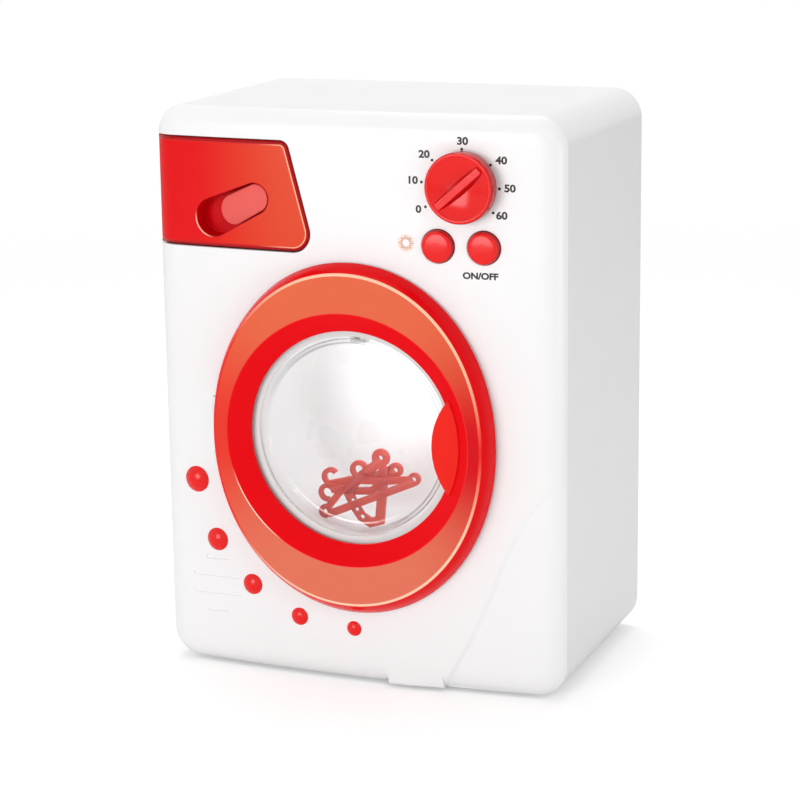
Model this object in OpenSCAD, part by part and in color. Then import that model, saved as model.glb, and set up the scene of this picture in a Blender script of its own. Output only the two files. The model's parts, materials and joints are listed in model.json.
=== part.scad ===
// Toy washing machine, a front loader that runs on three AA cells.
// Millimetres. X runs to the right seen from the front, Y to the back and Z up.
// The origin is the middle of the outer box at floor level.
// The modules draw in the case frame, whose origin is the middle of the parting line
// at the underside of the case, and on_case() moves them to the part's own frame.

/* [Case] */
// Width of the case
case_w = 186.7; // [180:0.1:200]
// Height of the case without its feet
case_h = 250; // [247:0.5:265]
// Depth from the parting line at the sides to the back
case_d = 109.4; // [107:0.1:125]
// Forward bow of the front at the middle of its width
face_bow = 5.4; // [4:0.1:6.5]
// Depth of the rounded edge round the front
edge_rise = 5; // [4:0.1:6]
// Width of the rounded edge round the front
edge_width = 9.5; // [8:0.1:10]
// Radius of the case's corners seen from the front
corner_r = 13; // [12.5:0.1:15]
// Wall of both case shells
wall = 2.2; // [1.8:0.1:2.5]
// Height of the feet
foot_h = 2; // [1.6:0.1:4]
// Radius of a foot
foot_r = 6; // [4:0.5:8]
// Depth of the stepped panel at the lower right
step_depth = 1; // [0.5:0.1:1.2]
// Height of the stepped panel's edge at the right side
step_h = 95.7; // [80:0.1:110]
// Left end of the kick strip and of the stepped panel's foot
kick_x0 = 12.7; // [5:0.1:20]
// Right end of the kick strip
kick_x1 = 39.7; // [30:0.1:45]
// Drop of the kick strip below the case
kick_drop = 0.5; // [0.4:0.1:1.6]

/* [Door] */
// Height of the door's centre above the underside of the case
door_z = 110.1; // [106:0.1:112]
// Radius of the window that shows
window_r = 47; // [44:0.1:48]
// Outer radius of the inner cone
cone_r = 55.6; // [54.5:0.1:57]
// Half width of the crest
crest_a = 61.9; // [61:0.1:63]
// Half height of the crest
crest_b = 73.2; // [68:0.1:74]
// Half width of the bezel at its foot
base_a = 64.8; // [64:0.1:66]
// Half height of the bezel at its foot
base_b = 77.4; // [72:0.1:78.5]
// Drop of the foot's middle below the window's
foot_drop = 0.9; // [0:0.1:1.2]
// Height of the crest above the middle of the front
crest_rise = 9.2; // [8.8:0.1:11]
// Height of the window's edge above the middle of the front
window_rise = 2.6; // [2.2:0.1:3]
// Wall of the bezel
bezel_wall = 1.8; // [1.5:0.1:2]
// Gap between the bezel's foot and the front
door_gap = 1.3; // [1.2:0.1:1.6]
// Thickness of the clear window
glass_t = 1.6; // [1.2:0.1:1.8]
// Depth of the window's bowl behind its flange
bowl_depth = 5.4; // [4:0.1:6.5]
// Radius of the bowl's mouth
bowl_r = 42; // [40:0.1:43]
// Width of the finger tab at its middle
tab_w = 11; // [8:0.5:13]
// Height of the finger tab
tab_h = 39; // [34:0.5:44]
// Thickness of the finger tab
tab_t = 2; // [1.6:0.1:2.4]
// Radius of the hinge pin
hinge_pin_r = 1.25; // [1:0.05:1.4]
// Radius of the hinge knuckles
knuckle_r = 2.4; // [2.2:0.05:2.6]

/* [Drum] */
// Radius of the hole in the front
mouth_r = 54; // [53.6:0.1:54.6]
// Inner radius of the drum
drum_r = 49; // [47.5:0.1:50]
// Inner depth of the drum
drum_depth = 52; // [48:0.5:54]
// Wall of the drum
drum_wall = 1.6; // [1.2:0.1:1.8]
// Radius of the drum shaft
shaft_r = 3; // [2.5:0.1:3.2]
// Gap between the drum's rim and the mouth ring
drum_gap = 0.7; // [0.5:0.1:1.5]

/* [Drive] */
// Module of the gears
gear_m = 1; // [0.95:0.01:1]
// Teeth of the drum gear
drum_teeth = 44; // [40:2:44]
// Teeth of the idler's small wheel
small_teeth = 14; // [13:1:15]
// Teeth of the idler's large wheel
large_teeth = 40; // [38:1:41]
// Teeth of the motor pinion
pinion_teeth = 12; // [11:1:12]
// Play between meshing teeth
backlash = 0.25; // [0.2:0.01:0.4]
// Thickness of the drum gear
drum_gear_t = 4; // [3:0.1:4.4]
// Thickness of the idler's large wheel
large_t = 3; // [2:0.1:3.2]
// Radius of the motor can
motor_r = 10; // [8:0.1:10.5]
// Length of the motor can
motor_l = 25; // [20:0.5:27]
// Thickness of the chassis and of the gear plate
plate_t = 2.5; // [2:0.1:2.8]

/* [Dial] */
// Distance of the dial to the right of the middle
dial_x = 50.9; // [48:0.1:53]
// Drop of the dial below the top of the case
dial_drop = 29.3; // [27:0.1:30.5]
// Radius of the dial
dial_r = 15; // [12:0.1:15.5]
// Height of the dial above the front
dial_rise = 7.5; // [7:0.1:10.4]
// Radius of the dial's stem
stem_r = 4; // [3:0.1:4.5]
// Width of the dial's grip bar
grip_w = 3.5; // [2.5:0.1:5]
// Direction of the grip bar at rest, from the right, counterclockwise
grip_angle = 221; // [200:1:235]

/* [Buttons] */
// Positions of the two buttons to the right of the middle
button_x = [39.55, 59.4]; // [36:0.05:62]
// Drop of the buttons below the top of the case
button_drop = 54.8; // [53:0.1:56]
// Radius of a button
button_r = 7; // [6:0.1:7.2]
// Height of a button above the front
button_rise = 2.5; // [2.2:0.1:4]
// Travel of a button
button_travel = 2; // [1.5:0.1:2]

/* [Drawer] */
// Drop of the drawer's lower edge below the top of the case
drawer_drop = 60.9; // [58:0.1:61.5]
// Height of the drawer's front
drawer_h = 48; // [47:0.1:49]
// Right end of the drawer's upper edge, from the middle of the case
drawer_top_x = -28.2; // [-32:0.1:-27.5]
// Right end of the drawer's lower edge, from the middle of the case
drawer_low_x = -15.6; // [-18:0.1:-14]
// Gap round the drawer's front
drawer_gap = 0.4; // [0.3:0.05:0.6]
// Length of the tray
tray_l = 59; // [50:0.5:62]
// Wall of the tray and of its guide
tray_wall = 1.6; // [1.2:0.1:2]
// Depth of the finger recess
recess_depth = 9; // [6:0.1:10]

/* [Fits] */
// Gap between pieces that move past each other
run_gap = 0.4; // [0.3:0.05:0.5]
// Radial play of a shaft in its bearing
shaft_fit = 0.06; // [0.04:0.01:0.1]
// Radial play of a screw or stem in its hole
screw_fit = 0.1; // [0.05:0.01:0.2]
// Gap between pieces that only lie close
part_gap = 0.3; // [0.25:0.05:0.4]

/* [Hidden] */

// Smoothness of round parts, and steps of outline arcs
$fn = 64;
arc_steps = 8;
bow_steps = 20;
edge_steps = 6;
ring_steps = 90;

// A cut goes this far past the surface it opens
over = 1;

half_w = case_w / 2;
front_reach = edge_rise + face_bow + crest_rise;
crease_y = (front_reach - case_d) / 2;
edge_r = (pow(edge_width, 2) + pow(edge_rise, 2)) / (2 * edge_rise);
edge_angle = asin(edge_width / edge_r);
face_mid = -(edge_rise + face_bow);
back_inner = case_d - wall;
dial_z = case_h - dial_drop;
button_z = case_h - button_drop;
drawer_z = case_h - drawer_drop;

module on_case() translate([0, crease_y, foot_h]) children();

// Forward bow and front surface at a distance x from the middle
function bow_at(x) = face_bow * (1 - pow(x / half_w, 2));
function face_y(x) = -(edge_rise + bow_at(x));
function face_slope(x) = atan(2 * face_bow * x / pow(half_w, 2));

// Outlines: each corner is [x, z, radius]
function unit(v) = v / norm(v);
function xz(c) = [c.x, c.y];
function turn(a) = a > 180 ? a - 360 : a < -180 ? a + 360 : a;
function corner_arc(a, b, c, r) =
    let (u = unit(a - b), w = unit(c - b), half = acos(u * w) / 2,
        o = b + unit(u + w) * r / sin(half),
        p = b + u * r / tan(half) - o, q = b + w * r / tan(half) - o,
        s = atan2(p.y, p.x), sweep = turn(atan2(q.y, q.x) - s))
    [for (i = [0:arc_steps]) o + r * [cos(s + sweep * i / arc_steps), sin(s + sweep * i / arc_steps)]];
function rounded(c) =
    [for (i = [0:len(c) - 1]) each c[i].z <= 0 ? [xz(c[i])]
        : corner_arc(xz(c[(i + len(c) - 1) % len(c)]), xz(c[i]), xz(c[(i + 1) % len(c)]), c[i].z)];
function rounded_box(x0, z0, x1, z1, r) =
    rounded([[x0, z0, r], [x1, z0, r], [x1, z1, r], [x0, z1, r]]);

// An XZ outline made solid from y0 to y1, and rods along the three axes
module slab(y0, y1) translate([0, y1, 0]) rotate([90, 0, 0]) linear_extrude(y1 - y0) children();
module rod_y(x, z, r, y0, y1) translate([x, y0, z]) rotate([-90, 0, 0]) cylinder(r=r, h=y1 - y0);
module rod_z(x, y, r, z0, z1) translate([x, y, z0]) cylinder(r=r, h=z1 - z0);
module rod_x(y, z, r, x0, x1) translate([x0, y, z]) rotate([0, 90, 0]) cylinder(r=r, h=x1 - x0);
module tube_y(x, z, r, bore, y0, y1) difference() {
    rod_y(x, z, r, y0, y1);
    rod_y(x, z, bore, y0 - over, y1 + over);
}
module box(x0, x1, y0, y1, z0, z1) translate([x0, y0, z0]) cube([x1 - x0, y1 - y0, z1 - z0]);
// A profile of [radius, y] points turned about an axis along Y
module turned(x, z, profile) translate([x, 0, z]) rotate([-90, 0, 0]) rotate_extrude() polygon(profile);
// A screw whose head stands at y0 and whose shank runs forward, or back with dir = -1
module screw(x, z, y0, length, dir=1, shank_r=small_screw_r, head_r=small_head_r, head_h=small_head_h)
    translate([x, y0, z]) rotate([dir > 0 ? 90 : -90, 0, 0]) {
        cylinder(r=shank_r, h=length);
        translate([0, 0, -head_h]) cylinder(r=head_r, h=head_h);
    }
// Outline round two discs and the space between them
function tapered(p, rp, q, rq, n=14) =
    let (d = q - p, s = atan2(d.y, d.x), w = acos((rp - rq) / norm(d)))
    concat([for (i = [0:n]) p + rp * [cos(s + w + (360 - 2 * w) * i / n),
        sin(s + w + (360 - 2 * w) * i / n)]],
        [for (i = [0:n]) q + rq * [cos(s - w + 2 * w * i / n), sin(s - w + 2 * w * i / n)]]);

// A tube swept along points, its rings square to the path
sweep_ref = unit([0.37, 0.21, 0.9]);
function tangent(p, i) = unit(p[min(i + 1, len(p) - 1)] - p[max(i - 1, 0)]);
function sweep_ring(p, i, r, n) =
    let (t = tangent(p, i), u = unit(cross(t, sweep_ref)), v = cross(t, u))
    [for (k = [0:n - 1]) p[i] + r * (u * cos(360 * k / n) + v * sin(360 * k / n))];
module sweep(p, r, n) polyhedron(
    points = [for (i = [0:len(p) - 1]) each sweep_ring(p, i, r, n)],
    faces = concat(
        [[for (k = [0:n - 1]) k]],
        [for (i = [0:len(p) - 2], k = [0:n - 1]) let (a = i * n, b = a + n, m = (k + 1) % n)
            each [[a + k, b + k, b + m], [a + k, b + m, a + m]]],
        [[for (k = [n - 1:-1:0]) (len(p) - 1) * n + k]]));
// A smooth curve through the points, with the given steps between two of them
function spline_at(a, b, c, d, t) =
    ((2 * b) + (c - a) * t + (2 * a - 5 * b + 4 * c - d) * t * t + (3 * b - a - 3 * c + d) * t * t * t) / 2;
function spline(p, steps) = concat(
    [for (i = [0:len(p) - 2], s = [0:steps - 1])
        spline_at(p[max(i - 1, 0)], p[i], p[i + 1], p[min(i + 2, len(p) - 1)], s / steps)],
    [p[len(p) - 1]]);

// Front skin: rings that step inwards and forwards along the rounded edge
corner_x = half_w - corner_r;
corner_z = case_h - corner_r;
function top_chain(inset) = let (r = corner_r - inset) concat(
    [for (i = [0:arc_steps]) [corner_x + r * cos(90 * i / arc_steps), corner_z
        + r * sin(90 * i / arc_steps)]],
    [for (i = [1:bow_steps - 1]) [corner_x * (1 - 2 * i / bow_steps), case_h - inset]],
    [for (i = [0:arc_steps]) [-corner_x - r * sin(90 * i / arc_steps), corner_z
        + r * cos(90 * i / arc_steps)]]);
function skin_ring(inset, rise) = let (top = top_chain(inset), n = len(top)) concat(
    [for (p = top) [p.x, -rise - bow_at(p.x), p.y]],
    [for (i = [n - 1:-1:0]) [top[i].x, -rise - bow_at(top[i].x), case_h - top[i].y]]);
chain_n = 2 * arc_steps + bow_steps + 1;
ring_n = 2 * chain_n;
module skin_body(margin) {
    rings = [for (k = [0:edge_steps]) let (a = edge_angle * (1 - k / edge_steps))
        skin_ring(edge_width - edge_r * sin(a) + margin, edge_rise - edge_r * (1 - cos(a)) - margin)];
    last = edge_steps * ring_n;
    polyhedron(
        points = [for (r = rings) each r],
        faces = concat(
            [for (j = [0:chain_n - 2]) [j, j + 1, ring_n - 2 - j, ring_n - 1 - j]],
            [for (k = [0:edge_steps - 1], j = [0:ring_n - 1])
                [k * ring_n + j, (k + 1) * ring_n + j,
                    (k + 1) * ring_n + (j + 1) % ring_n, k * ring_n + (j + 1) % ring_n]],
            [for (j = [0:chain_n - 2])
                [last + j + 1, last + j, last + ring_n - 1 - j, last + ring_n - 2 - j]]));
}

// Case screws stand near the four corners
post_x = half_w - 12;
post_in = 6.8;
post_r = 4;
post_y = 4;
case_screw_r = 1.4;
case_screw_head_r = 2.7;
case_screw_head_h = 2;
case_screw_l = 10;
post_web = 3;
posts = [for (sx = [-1, 1], z = [post_in, case_h - post_in]) [sx * post_x, z]];

// Drawer front, its recess, and the tray behind it
drawer_top = drawer_z + drawer_h;
drawer_top_r = 4.5;
drawer_low_r = 8.5;
function drawer_outline(grow) = rounded([
    [-half_w - over, drawer_z - grow, 0],
    [drawer_low_x + grow, drawer_z - grow, drawer_low_r + grow],
    [drawer_top_x + grow * 1.2, drawer_top + grow, drawer_top_r + grow],
    [-half_w - over, drawer_top + grow, 0]]);
pit = [28.75 - half_w, drawer_z + 13.2];
pit_r = 8.3;
pit_end = pit + [20.1, 9.1];
pit_end_r = 6.7;
ramp_foot = pit + [8.4, 3.3];
ramp_foot_r = 6.6;
ramp_end_r = 6.1;
ramp_low = 4.6;
ramp_high = 0.7;
tray_x0 = 7.85 - half_w;
tray_x1 = drawer_top_x - 5.8;
tray_z0 = drawer_z + 4.5;
tray_z1 = drawer_top - 6.5;
recess_y = face_y(pit.x) + recess_depth;
tray_y = recess_y + tray_wall + part_gap;
tray_travel = 45;
tray_divider = 0.6;
stop_h = 1.2;
stop_half = 1.8;
stop_l = 3;
stop_y = tray_y + tray_l - stop_l - 1;
stop_z = (tray_z0 + tray_z1) / 2;
link_r = 3;
link_screw_l = 5;
links = [[tray_x0 + 5.5, tray_z0 + 6.4], [tray_x1 - 6, tray_z0 + 5.4], [tray_x0 + 8.5, tray_z1 - 5.6]];

// Guide and its three bosses on the front
guide_x0 = tray_x0 - run_gap - tray_wall;
guide_x1 = tray_x1 + run_gap + tray_wall;
guide_z0 = tray_z0 - run_gap - tray_wall;
guide_z1 = tray_z1 + run_gap + tray_wall;
guide_y = 6;
guide_l = 58;
guide_boss_r = 3.5;
guide_bosses = [[drawer_low_x + 7.1, drawer_z + 6.9], [drawer_top_x + 10.7, drawer_top - 8.1],
    [-50, case_h - 7.6]];
small_screw_r = 1.1;
small_head_r = 2.2;
small_head_h = 1.4;
small_screw_l = 6;
ear_screw_l = 3.6;
drive_screw_l = 7;
screw_room = 0.5;

// Door section, measured from the middle of the front
crest_y = face_mid - crest_rise;
window_y = face_mid - window_rise;
lip_t = 1.6;
flange_r = window_r + 4;
flange_y = window_y + lip_t;
clamp_y = flange_y + glass_t;
clamp_t = 1.6;
collar_r = flange_r + part_gap;
collar_wall = 1.5;
back_plate_y = face_mid - door_gap - 1.7;
back_plate_t = 1.6;
plate_a = (crest_a + base_a) / 2 - bezel_wall - run_gap;
plate_b = (crest_b + base_b - foot_drop) / 2 - bezel_wall - run_gap;
lip_r = window_r + 1.3;

// The bezel is an oval between an ellipse and a slightly squarer one
oval_power = 2.06;
function squash(v) = sign(v) * pow(abs(v), 2 / oval_power);
function oval(a, b, t) = [a * squash(cos(t)), b * squash(sin(t))];
function oval_outline(a, b) = [for (i = [0:ring_steps - 1]) oval(a, b, 360 * i / ring_steps) + [0, door_z]];

// Hinge: axis inside the bezel's left flank
hinge_x = -(base_a - 3.4);
hinge_y = face_y(hinge_x) - door_gap - 6;
knuckle_h = 9.7;
lug_z0 = knuckle_h + part_gap;
lug_h = 5;
lug_z1 = lug_z0 + lug_h;
leg_left = 1.6;
bracket_y = -1;
bracket_t = 2;
bracket_half_w = 4.5;
bracket_half_h = 24;
bracket_screw_z = 20.5;
notch_half_h = lug_z1 + 1;
notch_front = 2.9;

// Latch tongue on the door's right
tongue_x = plate_a - 1.95;
tongue_t = 1.8;
tongue_half_h = 5;
tongue_swing = 1.5;
keeper_y = -1;
keeper_t = 3;
tongue_end = keeper_y + keeper_t - 0.5;
keeper_half_h = 14;
keeper_boss_z = 10.5;
keeper_x0 = tongue_x - run_gap - 1.6;
keeper_x1 = tongue_x + tongue_t + tongue_swing + 3.4;

// Mouth ring and drum
ring_y = -4;
ring_t = 1.6;
ring_lip_r = drum_r - 1.6;
ring_lip_end = 3;
mouth_collar_r = mouth_r + 2.2;
ear_r = 3.6;
ear_at = mouth_collar_r + 2.5;
ears = [for (a = [45:90:315]) [ear_at * cos(a), door_z + ear_at * sin(a)]];
lamp_r = 1.5;
lamp_z = door_z + ring_lip_r - 4.2;
lamp_wire_z = door_z + mouth_r - 1.6;
lamp_wire_r = 0.5;
drum_y = ring_y + ring_t + drum_gap;
drum_back = drum_y + drum_depth + drum_wall;
hub_r = 7;
hub_l = 5.6;
shaft_y0 = drum_back - drum_wall + 0.8;
bush_r = 4.6;
bush_flange_r = 6.5;
bush_flange_t = 1;
chassis_y = drum_back + hub_l + part_gap + bush_flange_t;
chassis_back = chassis_y + plate_t;
bush_gap = 0.02;

// Gears stand between the chassis and the gear plate
pressure = 25;
addendum = 0.8;
dedendum = 1.05;
gear_y = chassis_back + 1.5;
gear_end = gear_y + drum_gear_t;
large_y = gear_end + 1;
plate_y = large_y + large_t + 2;
idler_angle = 360 / drum_teeth * 5;
idler_at = [0, door_z] + gear_m * (drum_teeth + small_teeth) / 2 * [cos(idler_angle), sin(idler_angle)];
motor_angle = -20;
motor_at = idler_at + gear_m * (large_teeth + pinion_teeth) / 2 * [cos(motor_angle), sin(motor_angle)];
idler_pin_r = 1.5;
motor_shaft_r = 1;
motor_nose_r = 3;
motor_nose_l = 1.5;
motor_flat = 7.5;
plate_posts = [[-26, door_z - 18], [-14, door_z + 34], [60, door_z - 14], [58, door_z + 38]];
plate_post_r = 4;

// Chassis
chassis_half_w = half_w - 15.35;
chassis_z0 = door_z - 58;
chassis_z1 = door_z + 58;
chassis_posts = [for (sx = [-1, 1], z = [chassis_z0 + 6, chassis_z1 - 6]) [sx * (chassis_half_w - 8), z]];
chassis_post_r = 4;

// Battery box on the inside of the back
cell_r = 7.1;
cell_l = 50;
cell_pitch = 14.8;
cell_count = 3;
contact_l = 4;
box_wall = 1.6;
box_half_w = cell_l / 2 + contact_l + box_wall;
box_z0 = 17;
box_in_h = cell_pitch * cell_count + 0.6;
box_z1 = box_z0 + box_in_h + 2 * box_wall;
box_deep = 2 * cell_r + 0.9;
box_y = back_inner - box_deep - box_wall;
cell_y = box_y + box_wall + part_gap + cell_r;
box_ear_x = box_half_w + 4;
box_ears = [for (s = [-1, 1], z = [30, 55]) [s * box_ear_x, z]];
box_ear_t = 2;
box_ear_y = back_inner - 4;
hatch_half_w = 27;
hatch_z0 = box_z0 + 3;
hatch_z1 = box_z1 + 8;
hatch_gap = 0.4;
hatch_t = 2;
hatch_y = case_d - 0.1 - hatch_t;
hatch_axis_y = case_d - 1.8;
hatch_axis_z = hatch_z0 + 1.7;
hatch_nose_r = 1.65;
hatch_pin_r = 0.8;
hatch_pin_l = 1.5;
hatch_pad_t = 1.5;
hatch_screw_r = 1.3;
hatch_screw_l = 4.7;
hatch_head_r = 2.6;
hatch_head_h = 1;
hatch_screw_z = hatch_z1 - 4.5;
hatch_screw_room = 0.35;
hatch_boss_y = back_inner - 5.7;
hatch_boss_half = 4.5;

// Back: grille holes and the feet's pegs
grille_r = 1.2;
grille_step = 4.6;
foot_peg_r = 1.5;
feet_at = [for (x = [-1, 1] * (half_w - 23.35), y = [14, case_d - 14]) [x, y]];

// Control board, switches and speaker
board_y = 7;
board_t = 1.6;
board_x0 = button_x[0] - 12.55;
board_x1 = button_x[1] + 12.6;
board_z0 = button_z - 12;
board_z1 = button_z + 12;
board_boss_r = 2.6;
chip_half = 5;
chip_t = 1.4;
board_bosses = [for (x = [board_x0 + 3.5, board_x1 - 3.5]) [x, button_z - 8.5]];
switch_h = 3.5;
plunger_h = 1;
plunger_r = 1.7;
button_flange_r = 8.6;
button_flange_t = 1.4;
button_stem_r = 2.5;
spring_r = 5;
spring_wire_r = 0.35;
spring_turns = 4.5;
speaker_x = 42;
speaker_z = case_h - 38;
speaker_r = 14;
speaker_h = 4;
magnet_r = 8;
magnet_h = 6;
clamp_arm = 19;

// Dial
dial_gap = 0.5;
ratchet_r = 11;
ratchet_t = 3;
ratchet_notches = 24;
dial_face = face_y(dial_x);
dial_inner = face_y(dial_x) + wall;
ratchet_y = dial_inner + 1.6;
stem_end = ratchet_y + ratchet_t;
knob_back = face_y(dial_x - dial_r) - dial_gap;
knob_front = dial_face - dial_rise;
dish_depth = 3.3;
skirt_t = 1.6;
skirt_h = 1.2;
collar_t = 3;
dial_screw_l = 8;
dial_head_r = 5.2;
leaf_t = 0.7;
leaf_tip_r = 0.8;
leaf_gap = 0.15;
leaf_z = dial_z + ratchet_r + leaf_gap + 2 * leaf_tip_r;
leaf_post = [dial_x + 14, leaf_z + leaf_t / 2];
leaf_foot_t = 2;

// Bubbles below the door: x, height and radius of each
bubbles = [[-76.7, 84.2, 5.9], [-67.1, 57.5, 5.2], [-49.9, 38.7, 4.7], [-27, 26.5, 4], [-0.9, 23.8, 3.4]];
bubble_rise = 0.42;
bubble_peg_r = 1.5;
bubble_peg_l = 3.4;
bubble_seat = 0.06;

// Engraved lines at the lower left: left end, length and height of each
grooves = [[-72.4, 10.8, 48.8], [-79.2, 22.2, 40.6], [-78.8, 22.8, 32.5], [-72.3, 9.5, 24.5]];
groove_w = 0.7;
groove_depth = 0.5;

// Stepped panel: its left edge climbs from the foot to the right side of the case
step_edge = [[kick_x1, -over], [41.3, 2.8], [49.6, 18.2], [55.9, 30.5], [61.3, 43.6], [66.7, 57.4],
    [71.1, 67.5], [76.3, 77.6], [81.5, 85.8], [87.5, 91.4], [half_w + over, 95.9]];
step_scale = step_h / 95.7;

module step_region() polygon(concat([for (p = spline(step_edge, 3)) [p.x, p.y * step_scale]],
    [[half_w + over, -over]]));

module front_shell() color("white") on_case() {
    difference() {
        union() {
            difference() {
                skin_body(0);
                skin_body(wall);
            }
            // The parts that stand on the inside end at the outer skin
            intersection() {
                skin_body(0);
                union() {
                    tube_y(0, door_z, mouth_collar_r, mouth_r, face_mid, face_y(mouth_r) + wall);
                    for (p = posts) rod_y(p.x, p.y, post_r, face_mid, -bow_at(p.x) - over / 10);
                }
            }
            front_bosses();
            kick_strip();
        }
        rod_y(0, door_z, mouth_r, face_mid - over, 0);
        slab(face_mid - over, over) polygon(drawer_outline(0));
        rod_y(dial_x, dial_z, stem_r + screw_fit, face_mid - over, 0);
        for (x = button_x) rod_y(x, button_z, button_r + part_gap, face_mid - over, 0);
        for (b = bubbles) bubble_place(b) rod_y(0, 0, bubble_peg_r + screw_fit, -over, bubble_peg_l + over);
        hinge_slots();
        latch_slot();
        groove_cuts();
        step_cut();
        for (p = posts) rod_y(p.x, p.y, case_screw_r + screw_fit,
            post_y + post_web - case_screw_l - screw_room, post_y + over);
        for (b = front_screw_bosses)
            rod_y(b[0], b[1], small_screw_r + screw_fit, b[3] - b[4], b[3] + over);
    }
}

// Bosses behind the front: x, z, radius, the y of their end, and the depth of their bore
keeper_screw_x = (tongue_x + tongue_t + tongue_swing + keeper_x0) / 2 + 0.6;
front_screw_bosses = concat(
    [for (b = guide_bosses) [b.x, b.y, guide_boss_r, guide_y, small_screw_l]],
    [for (b = board_bosses) [b.x, b.y, board_boss_r, board_y, small_screw_l]],
    [for (e = ears) [e.x, e.y, board_boss_r, ring_y, ear_screw_l]],
    [[leaf_post.x, leaf_post.y, board_boss_r, stem_end, ear_screw_l]],
    [for (s = [-1, 1]) [keeper_screw_x, door_z + s * keeper_boss_z, board_boss_r, keeper_y, small_screw_l]],
    [for (s = [-1, 1]) [hinge_x, door_z + s * bracket_screw_z, board_boss_r, bracket_y, small_screw_l]]);
module front_bosses() {
    for (b = front_screw_bosses) rod_y(b[0], b[1], b[2], face_y(b[0]) + wall * 0.9, b[3]);
    for (p = posts) rod_y(p.x, p.y, post_r, -bow_at(p.x) - over / 5, post_y);
    tube_y(0, door_z, mouth_collar_r, mouth_r, face_y(mouth_collar_r) + over / 20, ring_y);
    rod_y(dial_x, dial_z, stem_r + collar_t, dial_inner - wall / 4, ratchet_y - part_gap);
}
module kick_strip() box(kick_x0, kick_x1, -edge_rise - bow_at(kick_x1) + 1.2, -bow_at(kick_x0) - 1.2,
    -kick_drop, wall);
module bubble_place(b) translate([b[0], face_y(b[0]), b[1]]) rotate([0, 0, face_slope(b[0])]) children();
// Heights of the two lugs' middles
lugs_z = [for (s = [-1, 1]) door_z + s * (lug_z0 + lug_z1) / 2];
module hinge_slots() for (z = lugs_z)
    box(hinge_x - leg_left - run_gap, hinge_x + knuckle_r + run_gap, face_mid, 0,
        z - lug_h / 2 - run_gap, z + lug_h / 2 + run_gap);
module latch_slot() box(tongue_x - run_gap, tongue_x + tongue_t + tongue_swing, face_mid, keeper_y,
    door_z - tongue_half_h - run_gap, door_z + tongue_half_h + run_gap);
module groove_cuts() for (g = grooves) translate([g[0], face_y(g[0]), g[2]])
    rotate([0, 0, face_slope(g[0] + g[1] / 2)]) {
        translate([0, -over, -groove_w / 2]) cube([g[1], over + groove_depth, groove_w]);
        rod_y(0, 0, groove_w, -over, groove_depth);
    }
module step_cut() intersection() {
    slab(face_mid - over, over) step_region();
    difference() {
        translate([0, -over, 0]) skin_body(0);
        scale([1, 1 - step_depth / (edge_rise + face_bow / 2), 1]) skin_body(0);
    }
}

// The case's outline and its plan up to the parting line, moved forward by a gap
case_outline = concat(top_chain(0),
    [for (i = [chain_n - 1:-1:0]) let (p = top_chain(0)[i]) [p.x, case_h - p.y]]);
module plan_behind(gap) linear_extrude(case_h)
    polygon(concat([for (p = top_chain(0)) [p.x, -bow_at(p.x) - gap]],
        [[-half_w, case_d], [half_w, case_d]]));
module case_prism(inset, y0, y1) slab(y0, y1)
    polygon(rounded_box(-half_w + inset, inset, half_w - inset, case_h - inset, corner_r - inset));

module rear_shell() color("whitesmoke") on_case() difference() {
    union() {
        difference() {
            intersection() {
                slab(-face_bow - over, case_d) polygon(case_outline);
                plan_behind(0);
            }
            case_prism(wall, -face_bow - 2 * over, back_inner);
        }
        for (p = posts) rod_y(p.x, p.y, post_r, post_y, back_inner + over);
        for (p = chassis_posts) rod_y(p.x, p.y, chassis_post_r, chassis_back, back_inner + over);
        for (s = [-1, 1]) rod_y(speaker_x + s * clamp_arm, speaker_z, board_boss_r,
            back_inner - speaker_h, back_inner + over);
        for (e = box_ears) rod_y(e.x, e.y, board_boss_r, box_ear_y, back_inner + over);
        box(-hatch_boss_half, hatch_boss_half, hatch_boss_y, back_inner - part_gap,
            box_z1 + part_gap, hatch_z1 + 5);
        box(-hatch_boss_half, hatch_boss_half, hatch_boss_y, back_inner + over, hatch_z1 + 1, hatch_z1 + 5);
        for (s = [-1, 1]) translate([s * (hatch_half_w + hatch_gap + hatch_pad_t / 2), 0, 0])
            box(-hatch_pad_t / 2, hatch_pad_t / 2, back_inner - 2.4, back_inner + over,
                hatch_z0 - 1, hatch_z0 + 4.4);
    }
    for (p = posts) {
        rod_y(p.x, p.y, case_screw_r + screw_fit, post_y - over, case_d + over);
        rod_y(p.x, p.y, case_screw_head_r + part_gap, post_y + post_web, case_d + over);
    }
    for (p = chassis_posts)
        rod_y(p.x, p.y, small_screw_r + screw_fit, chassis_back - over, chassis_back + drive_screw_l);
    for (s = [-1, 1]) rod_y(speaker_x + s * clamp_arm, speaker_z, small_screw_r + screw_fit,
        back_inner - speaker_h - over, back_inner);
    for (e = box_ears) rod_y(e.x, e.y, small_screw_r + screw_fit, box_ear_y - over, back_inner);
    slab(back_inner - part_gap, case_d + over) polygon(rounded_box(-hatch_half_w - hatch_gap,
        hatch_z0 - hatch_gap, hatch_half_w + hatch_gap, hatch_z1 + hatch_gap, 1));
    rod_x(hatch_axis_y, hatch_axis_z, hatch_pin_r + shaft_fit, -hatch_half_w - hatch_pin_l - part_gap,
        hatch_half_w + hatch_pin_l + part_gap);
    rod_y(0, hatch_screw_z, hatch_screw_r + hatch_screw_room, hatch_boss_y + over, case_d);
    rod_y(speaker_x, speaker_z, grille_r, back_inner - over, case_d + over);
    for (ring = [1, 2], k = [0:6 * ring - 1]) let (a = 60 * k / ring, d = ring * grille_step)
        rod_y(speaker_x + d * cos(a), speaker_z + d * sin(a), grille_r, back_inner - over, case_d + over);
    for (f = feet_at) rod_z(f.x, f.y, foot_peg_r + screw_fit, -over, wall + over);
}

module feet() color("lightgrey") on_case() for (f = feet_at) {
    rod_z(f.x, f.y, foot_r, -foot_h, 0);
    rod_z(f.x, f.y, foot_peg_r, -foot_h / 2, wall);
}

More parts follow.
